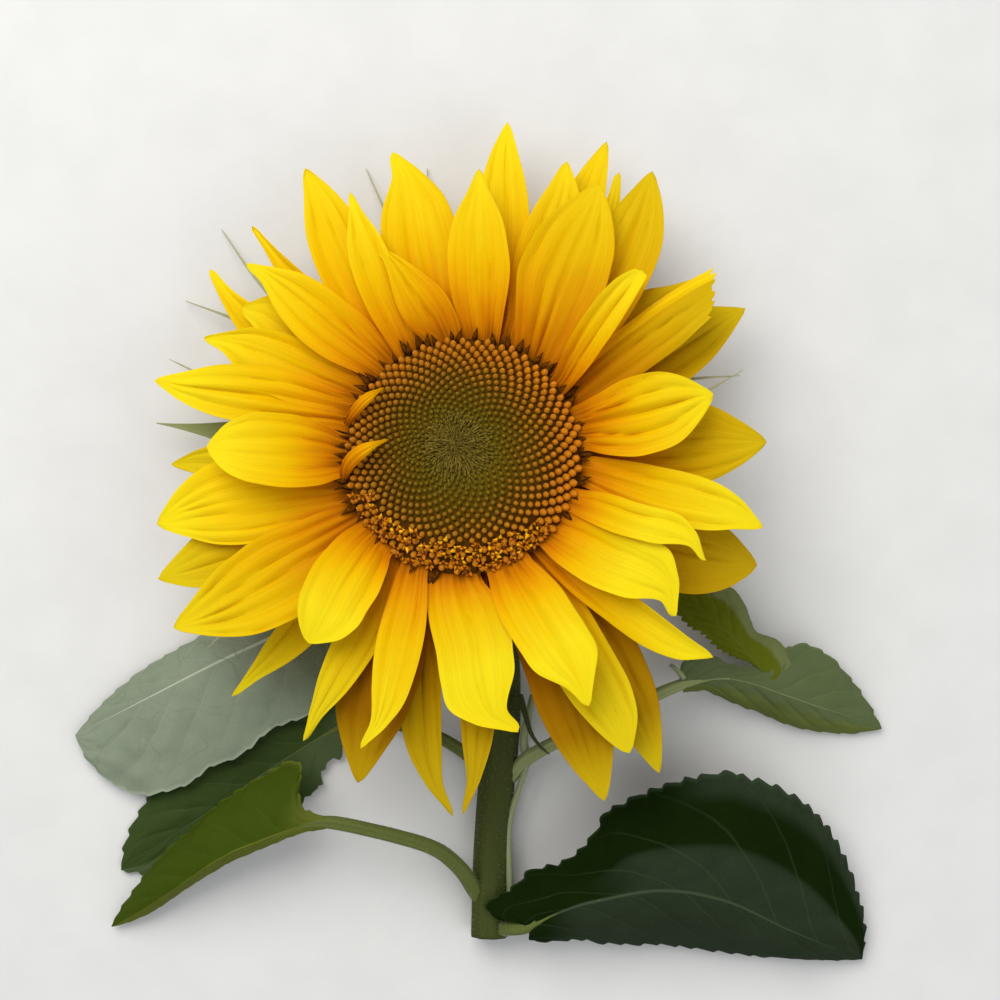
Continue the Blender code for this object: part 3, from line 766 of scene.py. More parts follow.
# the spirals start off the axis, and the florets are crowded back inside the round rim
def floretSpot(k):
    share = ((k + 0.5) / discForm["florets"]) ** discForm["power"]
    turn = k * math.pi * (3 - math.sqrt(5))
    off = Vector(discForm["centre"]) * (1 - share) ** 1.2
    radius = head["radius"] * discForm["edge"] * share
    return off.x + radius * math.cos(turn), off.y + radius * math.sin(turn), share


def budShape():
    bm = bmesh.new()
    bmesh.ops.create_uvsphere(bm, u_segments=10, v_segments=7, radius=1.0)
    for vertex in bm.verts:
        turn = math.atan2(vertex.co.y, vertex.co.x)
        if vertex.co.z > 0:
            pinch = 1 - 0.10 * vertex.co.z * (1 + math.cos(turn * 5))
            vertex.co.x *= pinch
            vertex.co.y *= pinch
            vertex.co.z *= 1.12
    return asShape(bm, "bud")


# a pointed blade with a belly, bent along +Y
def bladeShape(width, curve):
    bm = bmesh.new()
    bmesh.ops.create_cone(bm, cap_ends=True, segments=4, radius1=1.0, radius2=0.0, depth=1.0)
    bmesh.ops.translate(bm, verts=bm.verts, vec=(0, 0, 0.5))
    upright = [edge for edge in bm.edges if abs(edge.verts[0].co.z - edge.verts[1].co.z) > 0.5]
    bmesh.ops.subdivide_edges(bm, edges=upright, cuts=2)
    for vertex in bm.verts:
        z = vertex.co.z
        vertex.co.x *= width * (1 + 0.6 * math.sin(math.pi * z))
        vertex.co.y *= width * 0.35
        vertex.co.y += curve * z * z
    return asShape(bm, "blade")


# a thin flared tube through rings of (radius, height)
def tubeShape(profile):
    bm = bmesh.new()
    bmesh.ops.create_circle(bm, cap_ends=False, segments=10, radius=profile[0][0])
    bmesh.ops.translate(bm, verts=bm.verts, vec=(0, 0, profile[0][1]))
    ring = list(bm.edges)
    for radius, height in profile[1:]:
        made = bmesh.ops.extrude_edge_only(bm, edges=ring)["geom"]
        verts = vertsOf(made)
        edges = [part for part in made if isinstance(part, bmesh.types.BMEdge)]
        ring = [edge for edge in edges if all(vertex in verts for vertex in edge.verts)]
        for vertex in verts:
            turn = math.atan2(vertex.co.y, vertex.co.x)
            vertex.co = (radius * math.cos(turn), radius * math.sin(turn), height)
    bmesh.ops.solidify(bm, geom=bm.faces, thickness=0.14)
    return asShape(bm, "open floret")


def antherShape():
    bm = bmesh.new()
    bmesh.ops.create_cone(bm, cap_ends=True, segments=6, radius1=0.55, radius2=0.40, depth=2.4)
    bmesh.ops.translate(bm, verts=bm.verts, vec=(0, 0, 1.2))
    return asShape(bm, "anther")


# rows of open florets: share of the disc's radius, first and last direction, how many, and how bright, as
# how many of their lobes get the painted light
openRows = ((0.935, 198, 322, 25, 0.15), (0.855, 204, 318, 23, 0.6), (0.785, 228, 306, 11, 0.75))
openForm = {
    "size": 1.85 * mm,
    "clear": 1.25 * mm,  # how near the closed florets come
    "sunk": 1.9 * mm,
    "tube": ((0.44, 0.0), (0.60, 0.9), (0.74, 1.5)),  # its rings' radius and height, by the size
    "lobe": (0.36, -0.25),
    "lobes": 5,
    "mouth": (0.62, 1.4),  # where its lobes stand, in the same way
    "vary": ((0.75, 1.15), (0.8, 1.2), (0.8, 1.25)),  # of its width, depth and height
}


# places and sizes of the open florets, from which the closed ones keep clear
def openFlorets(draw):
    found = []
    for share, first, last, count, bright in openRows:
        for k in range(count):
            turn = between((first, last), (k + draw.uniform(0.2, 0.8)) / count)
            spot = polar(head["radius"] * share * draw.uniform(0.96, 1.03), turn)
            found.append((spot.xy, openForm["size"] * draw.uniform(0.8, 1.2), bright))
    return found


bedFinish = {
    "ramp": ((0.28, (0.160, 0.108, 0.003)), (0.50, (0.130, 0.066, 0.002)), (0.8, (0.085, 0.030, 0.001))),
    "grain": (0.04, 0.018, 0.001),
}


def bedMaterial():
    m = Finish("floret bed")
    u, _, _ = m.split(m.surface())
    grain = m.noise(m.place(), 900.0, 3.0, 0.6)
    colour = m.mix(m.times(grain, 0.5), m.ramp(u, bedFinish["ramp"]), bedFinish["grain"])
    m.dress(colour, m.bump(grain, 0.0004), 0.9, 0.05)
    return m.material


# the dark bed between the florets, with a skirt round its rim
def makeBed():
    def place(s, v):
        radius = head["radius"] * s
        height = domeHeight(radius) - discForm["bedDrop"]
        turn = math.pi * (v + 1)
        return headPlace @ Vector((radius * math.cos(turn), radius * math.sin(turn), height))

    bed = sheetGrid(*discForm["bedGrid"], place)
    made = bmesh.ops.extrude_edge_only(bed, edges=rimOf(bed))["geom"]
    down = headPlace.to_3x3().col[2] * -discForm["bedSkirt"]
    bmesh.ops.translate(bed, verts=vertsOf(made), vec=down)
    bmesh.ops.holes_fill(bed, edges=rimOf(bed), sides=0)
    bmesh.ops.recalc_face_normals(bed, faces=bed.faces)
    finishPiece("disc_bed", bed, bedMaterial(), ["disc"])


# each open floret is a tube with lobes round its mouth and anthers that stand out of it
def addOpenFlorets(draw, openSpots, parts):
    tube = tubeShape(openForm["tube"])
    lobe = bladeShape(*openForm["lobe"])
    anther = antherShape()
    for spot, size, bright in openSpots:
        out = spot.to_3d().normalized()
        aside = Vector((draw.uniform(-0.7, 0.7), draw.uniform(-0.7, 0.7), 0))
        direction = (domeNormal(spot.to_3d()) + out * 0.3 + aside).normalized()
        foot = onDome(spot.x, spot.y, -openForm["sunk"])
        inward = math.degrees(math.atan2(-spot.y, -spot.x))
        towards = polar(1, draw.uniform(-60, 60) + inward).normalized()
        scale = [size * draw.uniform(*ends) for ends in openForm["vary"]]
        matrix = headPlace @ facing(foot, direction, towards, scale)
        parts["open_tubes"].append((tube, matrix))
        addLobes(draw, lobe, matrix, size, bright, parts)
        short = (size * 0.8, size * 0.8, size * draw.uniform(0.5, 0.95))
        parts["anthers"].append((anther, headPlace @ facing(foot, direction, towards, short)))


# painted light: the lobes on the far side mostly get the bright colour, as if they catch the light, and
# the others the dull one as painted shade
def addLobes(draw, lobe, matrix, size, bright, parts):
    turned = matrix.to_3x3().normalized()
    upward = turned @ Vector((0, 0, 1))
    mouthRadius, mouthHeight = openForm["mouth"]
    for k in range(openForm["lobes"]):
        way = 360 / openForm["lobes"] * k + draw.uniform(-16, 16)
        rim = matrix @ polar(mouthRadius, way, mouthHeight)
        length = size * draw.uniform(0.9, 1.35)
        chance = bright * (1.1 if math.sin(math.radians(way)) > 0 else 0.1)
        group = "open_lobes_painted_light" if draw.random() < chance else "open_lobes_painted_shade"
        lean = (turned @ polar(1, way) + upward * draw.uniform(0.1, 0.9)).normalized()
        parts[group].append((lobe, standing(rim, lean, draw.uniform(-0.5, 0.5), (length,) * 3)))


# the colour group of a closed floret, riper towards the rim and the warm side
def budGroup(share, turn, draw):
    middle, swing, warmest = discForm["warmSide"]
    ripe = clamp((share - discForm["greenReach"]) / (1 - discForm["greenReach"]))
    ripe *= middle + swing * math.cos(math.radians(turn - warmest))
    ripe = clamp(ripe + draw.uniform(-0.05, 0.05))
    return list(budColours)[int((len(budColours) - 0.01) * ripe)]


# the closed florets, larger towards the rim, and the fibres between those in the middle
def addBuds(draw, openSpots, groups, fibres):
    bud, fibre = budShape(), bladeShape(*fibreForm["blade"])
    first, last = discForm["largeSide"]
    for k in range(discForm["florets"]):
        x, y, share = floretSpot(k)
        spot = Vector((x, y, 0))
        turn = math.degrees(math.atan2(y, x)) % 360
        normal, out = domeNormal(spot), spot.normalized()
        spin = draw.uniform(0, math.tau)
        if any((spot.xy - other).length < openForm["clear"] for other, _, _ in openSpots):
            continue
        group = budGroup(share, turn, draw)
        size = between(discForm["budSize"], share)
        if share > discForm["largeFrom"] and (turn > first or turn < last):
            size *= discForm["large"]
        lean = normal + out * 0.35 * smooth(0.6, 1.0, share)
        lean = lean - out * 0.3 * (1 - smooth(0.2, 0.6, share))
        foot = onDome(x, y, -discForm["budSunk"] + draw.uniform(-0.25, 0.25) * mm)
        tall = size * draw.uniform(*discForm["budTall"])
        scale = (size * draw.uniform(0.92, 1.08), size, tall)
        groups[group].append((bud, headPlace @ standing(foot, lean.normalized(), spin, scale)))
        if share < fibreForm["reach"]:
            fibres.extend((fibre, matrix) for matrix in fibrePlaces(draw, spot, share, normal))


# thin fibres that lie between the florets round a spot and point to where the spirals start
fibreForm = {
    "reach": 0.48,  # share of the florets, from the middle, that have fibres
    "dense": 0.34,
    "length": (3.0 * mm, 6.2 * mm),
    "blade": (0.07, 0.30),
    "spread": 0.7 * mm,
    "sunk": 0.8 * mm,
}


def fibrePlaces(draw, spot, share, normal):
    places = []
    inward = (Vector(discForm["centre"]).to_3d() - spot).normalized()
    spread = fibreForm["spread"]
    for _ in range(4 if share < fibreForm["dense"] else 2):
        aside = Vector((draw.uniform(-1, 1), draw.uniform(-1, 1), 0)) * 0.22
        direction = (normal * 0.4 + inward + aside).normalized()
        shorter = 0.6 * smooth(0.26, fibreForm["reach"], share)
        length = draw.uniform(*fibreForm["length"]) * (1.0 - shorter)
        x, y = spot.x + draw.uniform(-spread, spread), spot.y + draw.uniform(-spread, spread)
        foot = onDome(x, y, -fibreForm["sunk"])
        places.append(headPlace @ standing(foot, direction, draw.uniform(0, math.tau), (length,) * 3))
    return places


# the colours of the disc's other parts
partColours = {
    "disc_fibres": (0.205, 0.142, 0.020),
    "open_tubes": (0.32, 0.090, 0.002),
    # the same lobes in painted light and in painted shade
    "open_lobes_painted_light": (0.80, 0.35, 0.006),
    "open_lobes_painted_shade": (0.46, 0.145, 0.002),
    "anthers": (0.12, 0.032, 0.002),
}


def makeDisc():
    draw = random.Random(discForm["seed"])
    makeBed()
    groups = {name: [] for name in budColours}
    parts = {name: [] for name in partColours}
    openSpots = openFlorets(draw)
    addOpenFlorets(draw, openSpots, parts)
    addBuds(draw, openSpots, groups, parts["disc_fibres"])
    for name, copies in groups.items():
        finish = plainMaterial("buds " + name, budColours[name], 0.6, 0.35, 1800, 0.0002, 0.15)
        finishPiece("disc_buds_" + name, joinCopies(copies), finish)
    for name, copies in parts.items():
        finish = plainMaterial(name.replace("_", " "), partColours[name], 0.7, 0.4, 1000, specular=0.1)
        finishPiece(name, joinCopies(copies), finish)
    print("disc made:", sum(map(len, groups.values())), "buds and", len(openSpots), "open florets")
    makeChaff(draw)


# the dark tips of the chaff that stand up round the rim
chaffForm = {
    "count": 60,
    "length": 5.6 * mm,
    "large": (0, 12, 30, 45, 62, 111, 118, 142, 194, 205, 256, 258, 302),  # degrees round the rim
    "largeLength": 7.0 * mm,
    "sparse": (212, 328),  # between these directions few of them show
    "sparseShare": 0.65,
    "blade": (0.22, -0.22),
}


def makeChaff(draw):
    blade = bladeShape(*chaffForm["blade"])
    first, last = chaffForm["sparse"]
    copies = []

    def addTip(spot, direction, length, spin):
        copies.append((blade, headPlace @ standing(spot, direction.normalized(), spin, (length,) * 3)))

    for k in range(chaffForm["count"]):
        turn = 360 / chaffForm["count"] * k + draw.uniform(-3.5, 3.5)
        spot = polar(head["radius"] * draw.uniform(0.965, 1.0), turn, head["shoulder"] - 0.5 * mm)
        direction = polar(1, turn) * draw.uniform(0.8, 1.2) + Vector((0, 0, 0.55))
        direction += polar(draw.uniform(-0.35, 0.35), turn + 90)
        length = chaffForm["length"] * draw.uniform(0.75, 1.2)
        if first < turn < last and draw.random() < chaffForm["sparseShare"]:
            continue
        addTip(spot, direction, length, draw.uniform(-0.4, 0.4))
    for turn in chaffForm["large"]:
        spot = polar(head["radius"] * 0.99, turn, head["shoulder"] - 0.8 * mm)
        direction = polar(1, turn) + Vector((0, 0, 0.3)) + polar(draw.uniform(-0.2, 0.2), turn + 90)
        length = chaffForm["largeLength"] * draw.uniform(0.85, 1.15)
        addTip(spot, direction, length, draw.uniform(-0.3, 0.3))
    brown = plainMaterial("chaff tips", (0.090, 0.027, 0.001), 0.85, 0.5, 900, specular=0.02)
    finishPiece("chaff_tips", joinCopies(copies), brown)


# the green head and its bracts
bractForm = {
    "count": 24,
    "grid": (36, 10),  # steps along, columns
    "rows": (-0.4 * mm, 1.8 * mm),  # heights of two rows, from the foot of the head's wall
    "width": 21 * mm,
    "thick": 0.7 * mm,
    "root": 0.90,  # share of the head's radius
    "reach": 108 * mm,
    "spread": 6 * mm,  # how far their reach differs
    "droop": 24 * mm,
    "topDroop": 15 * mm,  # how much further on the side that the head leans to
    "tail": 0.62,  # where the broad part ends
    "hollow": 1.6 * mm,
    "valley": 0.35 * mm,  # the groove along the middle
    "pleat": 0.12 * mm,
    "floorClear": 0.8 * mm,
    "longRaise": 4.5 * mm,  # how far above the others the long ones stand
    "longLift": 3 * mm,
    "longWidth": 11,  # mm, where a row names none
    "seed": 7,
}


# the height at which a line along the head's axis through the point meets the floor
def floorBelow(point):
    flat = headPlace @ Vector((point.x, point.y, 0))
    return -flat.z / headPlace.col[2].z


# long bract tips that show between the petals: direction in degrees, reach, sideways bow and width
# in mm, and how broad the tail is
longBracts = (
    dict(turn=98.5, reach=136.5, bow=2),
    dict(turn=108.6, reach=143, bow=-2),
    dict(turn=136.5, reach=155, bow=5),
    dict(turn=148.4, reach=148, bow=-3),
    dict(turn=160.1, reach=142, bow=3),
    dict(turn=171.7, reach=138.8, bow=1, width=19, tail=3.6),
    dict(turn=214.6, reach=136, bow=-3),
    dict(turn=77, reach=119, bow=3),
    dict(turn=17.4, reach=125, bow=-5),
    dict(turn=18.5, reach=123, bow=4),
    dict(turn=318.5, reach=100, bow=2),
)


def bractGrid(turn, reach, height, width, bow, lift=0.0, tail=1.0):
    foot = polar(head["radius"] * bractForm["root"], turn, height)
    leaning = max(0.0, math.sin(math.radians(turn - 15)))
    tip = polar(reach, turn, -bractForm["droop"] - bractForm["topDroop"] * leaning + lift)
    tip.z = max(tip.z, floorBelow(tip) + bractForm["floorClear"])
    middle = polar(reach * bractForm["tail"], turn, height + 2 * mm)
    side = polar(1, turn + 90)

    def place(s, v):
        belly = math.sin(math.pi * min(1.0, s / bractForm["tail"]) ** 0.8)
        half = width / 2 * max(belly, tail * bractForm["tail"] * (1 - s) ** 1.4 + 0.025)
        hollow = bractForm["hollow"] * (v * v - 1) * (1 - s)
        valley = bractForm["valley"] * math.exp(-((v / 0.12) ** 2))
        valley += bractForm["pleat"] * math.cos(v * 12)
        sway = side * (bow * math.sin(math.pi * s**1.5 * 1.15) * mm)
        line = bezier(foot, middle, tip, s) + sway
        return headPlace @ (line + side * (v * half) + Vector((0, 0, hollow - valley * (1 - s))))

    return sheetGrid(*bractForm["grid"], place)


# tip is the colour that a bract turns to at its far end
bractLooks = {
    "bract green": dict(
        green=(0.05, 0.09, 0.010), pale=(0.14, 0.19, 0.05), tip=(0.34, 0.33, 0.13), through=0.12
    ),
    "broad bract green": dict(
        green=(0.120, 0.155, 0.026), pale=(0.23, 0.27, 0.09), tip=(0.32, 0.34, 0.15)
    ),
    "bract tips": dict(green=(0.26, 0.28, 0.14), pale=(0.38, 0.40, 0.24), tip=(0.55, 0.52, 0.32)),
}


# a green with lengthwise streaks of a paler one
def greenMaterial(name, green, pale, rough=0.6, lines=18.0, through=0.0, tip=None):
    m = Finish(name)
    u, v, _ = m.split(m.surface())
    streak = m.grain(u, v, (3.0, lines), rough=0.6)
    fleck = m.noise(m.place(), 1300.0, 2.0, 0.6)
    colour = m.mix(m.times(streak, 0.7), green, pale)
    colour = m.mix(m.times(fleck, 0.35), colour, pale)
    if tip:
        colour = m.mix(m.times(m.math("POWER", u, 3.0), 0.85), colour, tip)
    normal = m.bump(m.plus(streak, m.times(fleck, 0.5)), 0.0003)
    m.dress(colour, normal, rough, 0.2)
    if through:
        m.translucent(colour, through, normal)
    return m.material


# the back of the head: a profile of radius and height spun round the axis, with shallow ribs
def makeHeadBack():
    radius, foot, depth = head["radius"], head["wallFoot"], head["depth"]
    profile = (
        (0.0, -1.55 * mm),
        (radius * 0.985, -1.55 * mm),
        (radius, -2.2 * mm),
        (radius, foot),
        (radius * 0.90, foot - 3.5 * mm),
        (radius * 0.66, foot - 7 * mm),
        (radius * 0.40, foot - 9 * mm),
        (head["neckRadius"] * 1.25, -depth + 0.8 * mm),
        (head["neckRadius"], -depth),
        (0.0, -depth),
    )
    bm = bmesh.new()
    verts = [bm.verts.new((out, 0, height)) for out, height in profile]
    edges = [bm.edges.new(pair) for pair in zip(verts, verts[1:])]
    turn = {"cent": (0, 0, 0), "axis": (0, 0, 1), "angle": math.tau}
    bmesh.ops.spin(bm, geom=verts + edges, steps=head["sides"], use_merge=True, **turn)
    bmesh.ops.remove_doubles(bm, verts=bm.verts, dist=1e-6)
    for vertex in bm.verts:
        out = vertex.co.xy.length
        if out > 1 * mm:
            ribs = math.cos(math.atan2(vertex.co.y, vertex.co.x) * bractForm["count"])
            vertex.co.z += head["rib"] * ribs * smooth(0.2, 0.9, out / radius)
    bmesh.ops.transform(bm, matrix=headPlace, verts=bm.verts)
    bmesh.ops.recalc_face_normals(bm, faces=bm.faces)
    green = plainMaterial("head green", (0.09, 0.145, 0.025), 0.65, 0.3, 500, 0.0003, 0.2)
    finishPiece("head_back", bm, green, ["head"])


def makeBracts():
    green, broad, thin = [greenMaterial(name, **look) for name, look in bractLooks.items()]
    draw = random.Random(bractForm["seed"])
    for k in range(bractForm["count"]):
        turn = 360 / bractForm["count"] * k + draw.uniform(-3, 3)
        reach = bractForm["reach"] + draw.uniform(-1, 1) * bractForm["spread"]
        height = head["wallFoot"] + bractForm["rows"][k % 2]
        bm = bractGrid(turn, reach, height, bractForm["width"], draw.uniform(-4, 4))
        finishPiece(f"bract_{k + 1:02d}", bm, green, thick=bractForm["thick"])
    height, lift = head["wallFoot"] + bractForm["longRaise"], bractForm["longLift"]
    for k, row in enumerate(longBracts, start=1):
        width = row.get("width", bractForm["longWidth"]) * mm
        tail = row.get("tail", 1.0)
        bm = bractGrid(row["turn"], row["reach"] * mm, height, width, row["bow"], lift, tail)
        finish = broad if "width" in row else thin
        finishPiece(f"long_bract_{k}", bm, finish, thick=bractForm["thick"])
    print("bracts made:", bractForm["count"] + len(longBracts))


# the stem and the leaves, as points in mm from the point of the floor under the head
stemLine = (
    (3.6, -8.6, 16.0),
    (6.6, -20.0, 10.2),
    (10.5, -45.0, 8.7),
    (15.6, -82.0, 8.6),
    (16.6, -107.0, 8.6),
    (15.6, -126.0, 8.7),
    (13.3, -151.0, 8.8),
    (11.6, -178.0, 8.9),
    (10.8, -211.0, 9.0),
)
stemForm = {
    "grid": (170, 54),  # steps along, sides
    "extraGrid": (50, 12),
    "radius": (7.8 * mm, 8.4 * mm),  # under the head, at the cut
    "under": 0.97,  # the skin's share of that, between its ribs
    "flare": 1.40,
    "neck": 4 * mm,
    "ribs": 9,
    "ribDepth": 0.28 * mm,
    "rough": 0.12 * mm,
    "hairs": (4200, 1.5 * mm),  # how many, how long
    "extraHairs": (260, 0.9 * mm),
    "seed": 5,
}

# left and right are the blade's two edges, in the order root to tip, as rib is; arch is how high each
# half bows up in mm, teeth how deep its teeth are, and backward whether they point to the root. crease
# is a fold in one half: its place across and its height in mm. The rows of the second colour, which is
# partly the leaf's own tint and partly painted shade, painted highlight and painted sheen, are a half
# (0 left, 1 right), the shares along between which it fades in, and the same across.
leafRows = (
    dict(
        name="lower_left",
        stalk=((9.5, -197.5, 8.5), (4.5, -190, 13), (-1, -180.5, 19.5), (-8.5, -172.5, 25),
               (-16, -168, 28), (-27.5, -164, 31), (-40.5, -160.5, 33), (-53.5, -157.6, 34)),
        stalkRadius=(3.8, 3.0),
        rib=((-61, -157, 35), (-70.4, -158.5, 34.5), (-79, -161.7, 33.5), (-90, -166.3, 32),
             (-101, -171, 29.5), (-112.4, -178, 26), (-124, -186.3, 21), (-141, -198, 12),
             (-157, -208, 3.5)),
        left=((-59.5, -160, 33.5), (-68.7, -161.6, 33), (-75.5, -164, 31.5), (-86.4, -168.7, 28.5),
              (-100.5, -174.8, 24), (-112.9, -182.5, 19.5), (-126.2, -192, 14), (-137, -199.5, 9.5),
              (-148, -205, 6), (-157, -208, 3.5)),
        right=((-60, -154.2, 35), (-66.5, -152.6, 34), (-70, -149.5, 32.5), (-71, -145, 30),
               (-70.7, -139.8, 27), (-70.5, -134.9, 24), (-73.9, -132.1, 21), (-79.3, -133.8, 19),
               (-86, -137.9, 18), (-95.8, -144.2, 16.5), (-111, -154.2, 14), (-122, -164.8, 11),
               (-131.7, -174.5, 8), (-143, -187, 6), (-152, -199, 4), (-157, -208, 3.5)),
        arch=(0.6, 3.5),
        teeth=(0.25, 0.8),
        # painted highlight: near its base and along the foot of its right margin this blade takes the
        # paler second colour, which also lightens its whole left half
        tintShadeAndSheen=((0, -1, 0, -0.2, 0.1), (1, 0.2, 0.0, -1, 0), (1, 0.4, 0.3, 0.93, 0.99)),
        look="bright",
    ),
    dict(
        name="upper_left",
        stalk=((16, -94, 8.5), (5, -89, 12), (-10, -82, 15), (-28, -75, 16.5), (-44, -70, 17)),
        stalkRadius=(3.5, 2.8),
        rib=((-55.5, -67, 17), (-76, -74.5, 17), (-91, -81.5, 17), (-109.5, -90, 16), (-131, -101, 13),
             (-152, -112, 9), (-173, -123, 4)),
        left=((-55.5, -70.2, 16), (-47.7, -76.4, 15), (-42.5, -84.4, 14), (-43.4, -94.1, 13),
              (-50.5, -102.1, 12.5), (-59.3, -107.4, 12), (-68.1, -112.7, 12), (-76.9, -115.8, 12),
              (-86.7, -120.2, 11.5), (-94.6, -127.7, 11.5), (-103.5, -133.1, 11), (-112.3, -136.1, 11),
              (-121.2, -143.3, 10.5), (-130.2, -146.6, 9), (-143, -149, 7), (-156, -144, 5.5),
              (-167, -134, 4.5), (-173, -123, 4)),
        right=((-54, -64.5, 16.5), (-52, -58.5, 12), (-56, -54, 8), (-66, -55.5, 5), (-81, -60.5, 3.8),
               (-98, -68.5, 3), (-115.4, -77.5, 2.6), (-132.3, -87.3, 2.4), (-148, -98, 2.6),
               (-162, -110, 3.2), (-173, -123, 4)),
        arch=(2.0, 3.0),
        teeth=(0.55, 0.55),
        crinkle=2.2,
        # painted shade: the second colour darkens this blade's foot, on both halves, to a shaded olive
        tintShadeAndSheen=((0, 0.38, 0.16, -1, 0), (1, 0.36, 0.14, -1, 0)),
        look="silver",
    ),
    dict(
        name="middle_left",
        stalk=((14, -141, 8.5), (6, -134.5, 12), (-4.5, -126.5, 14), (-15.5, -121, 13), (-28.5, -118, 10),
               (-42, -117, 6.5)),
        stalkRadius=(3.2, 2.3),
        rib=((-52, -117.5, 4.8), (-62, -122.5, 4.6), (-72, -128.5, 4.2), (-91, -141, 3.6),
             (-111, -155, 3.2), (-132, -169, 2.8), (-153, -183, 2.4)),
        left=((-52, -119.7, 4.2), (-53.2, -127.2, 4), (-55.8, -132.6, 4), (-61.3, -135.2, 4),
              (-63.5, -140.5, 4), (-64.4, -145.9, 4), (-69, -148.8, 3.8), (-72.8, -154.3, 3.6),
              (-79.9, -157, 3.4), (-90.1, -161.4, 3.2), (-99.9, -166.3, 3), (-111, -171.6, 2.8),
              (-122, -177.4, 2.6), (-132.3, -181.8, 2.5), (-143, -184.5, 2.4), (-153, -183, 2.4)),
        right=((-52.5, -114.5, 4.2), (-58, -107, 4), (-68, -105.8, 3.8), (-82, -111, 3.5),
               (-104, -119, 3.2), (-126.5, -133.5, 2.8), (-142.5, -153, 2.5), (-151, -170, 2.4),
               (-153, -183, 2.4)),
        arch=(0.8, 0.8),
        teeth=(1.1, 0.8),
        tintShadeAndSheen=((0, 0.3, 0.14, -1, 0), (1, 0.12, 0.0, -1, 0), (0, 0.62, 0.70, 0.35, 0.6)),
        look="dark",
    ),
    dict(
        name="lower_right",
        stalk=((11, -206, 10), (16, -206.5, 13), (20, -206, 16.5)),
        stalkRadius=(4.0, 3.2),
        rib=((26.5, -204.8, 22.5), (41.5, -196.5, 29), (58, -190.5, 34), (85.5, -185.5, 38),
             (113, -191, 34), (142, -206, 22), (176, -222, 5)),
        left=((25, -202, 22.5), (18, -201.2, 21), (10.5, -198.8, 19.5), (10.4, -193.6, 19.5),
              (17.7, -189.6, 20), (22.5, -185.9, 21), (28.1, -180.1, 22), (36.4, -177.7, 23),
              (42.9, -175.8, 24), (51.1, -169.4, 26), (57.5, -160.5, 27.5), (61.3, -153.3, 29),
              (70.7, -148, 30.5), (80.2, -143.5, 31.5), (90.9, -140, 32), (101.7, -137.4, 31.5),
              (113.9, -135.8, 30), (124.1, -138.8, 28), (137, -143.5, 25), (151, -153, 20),
              (163, -168, 16), (172, -188, 11), (177, -206, 7.5), (176, -222, 5)),
        right=((28, -206.5, 21.5), (31, -212, 15), (48.8, -212, 12.3), (62.9, -214.5, 10.4),
               (85.5, -214.8, 9.5), (108, -217.2, 7), (134, -222, 4), (156, -223, 3.5), (176, -222, 5)),
        arch=(1.0, 4.0),
        teeth=(1.1, 0.9),
        backward=(True, False),
        crease=(0, 0.40, 3.5),
        # painted sheen: the second colour is a pale blue-grey sky sheen over parts of both halves
        tintShadeAndSheen=((0, 0.20, 0.38, 0.44, 0.38), (1, 0.05, 0.2, -1, 0), (0, 0.44, 0.54, 0.74, 0.90)),
        look="deep",
    ),
    dict(
        name="upper_right",
        stalk=((14, -146, 8.7), (21.9, -138.5, 11), (26.5, -132.7, 14), (34.3, -127.5, 17),
               (52.6, -118, 21), (68, -111, 22), (82, -104, 22.5)),
        stalkRadius=(3.4, 2.8),
        stalkTone=((0.140, 0.175, 0.045), (0.34, 0.38, 0.18)),
        rib=((94, -99, 23), (103, -97, 23.5), (114, -96, 23.5), (126, -98.5, 22.5), (140, -103.5, 20),
             (155, -109, 15.5), (170, -114, 9.5), (185, -120, 3.5)),
        left=((93.5, -95.8, 23.5), (95.1, -89.5, 22.5), (102.5, -86.5, 21.5), (109.5, -87, 21),
              (115.5, -90, 20.5), (124.7, -91, 20.5), (132, -89, 20), (140, -84, 17.5),
              (149, -81.5, 14.5), (160, -87, 11), (170, -97, 8), (179, -109, 5.5), (185, -120, 3.5)),
        right=((95.5, -102.3, 20.5), (101.6, -101.7, 19), (106.1, -101.9, 17.5), (112, -104.9, 15),
               (121.1, -109.2, 12), (128, -111.5, 10), (140, -116.5, 7), (155, -121, 5), (170, -122.5, 4),
               (185, -120, 3.5)),
        arch=(1.5, 2.0),
        teeth=(0.5, 0.35),
        tintShadeAndSheen=((1, -1, 0, 0.15, 0.5), (0, 0.1, 0.0, 0.5, 0.0)),
        look="blue",
    ),
    dict(
        name="upper_right_lobe",
        rib=((134, -98, 21.5), (124, -86, 22.5), (114, -75.5, 22.5), (104, -67, 21), (92, -58.5, 17.5)),
        left=((130, -92, 20.8), (125, -88.6, 20.5), (117.2, -86.6, 20), (109.8, -82.5, 20),
              (104.5, -77, 20), (98.4, -73.6, 19.5), (94, -69.2, 19), (91, -64, 18), (92, -58.5, 17.5)),
        right=((142, -95, 18), (143, -88, 17), (137, -80, 16.5), (128, -76.5, 17), (125, -71, 17),
               (122.4, -64, 17), (117.5, -57.2, 17), (108, -54.5, 17.5), (99, -54.5, 17.5),
               (92, -58.5, 17.5)),
        arch=(1.0, 2.5),
        teeth=(0.95, 0.1),
        pitch=3.3,
        tintShadeAndSheen=((1, -1, 0, 0.45, 0.62),),
        look="olive",
    ),
)
leafForm = {
    "steps": 220,
    "columns": 40,
    "thick": 0.55 * mm,
    "pitch": 8.4,  # mm from tooth to tooth
    "tooth": 2.0 * mm,
    "veins": 7,
    "veinLean": 2.1,
    "veinCurve": 0.85,
    "veinStart": 20.5,
    "broad": 22 * mm,  # half the width from which a blade swells and waves in full
    "puff": 0.7 * mm,
    "wave": 2.0 * mm,
    "tail": (0.0, 0.04, 0.09, 0.15, 0.22),  # the stalk runs on under the blade to these shares of it
    "tailEnd": 0.5 * mm,
    "stalkGrid": (130, 30),  # steps along, sides
    "hairsPerMm": 14,
    "hairLength": 0.8 * mm,
    "rest": 1.2 * mm,
}


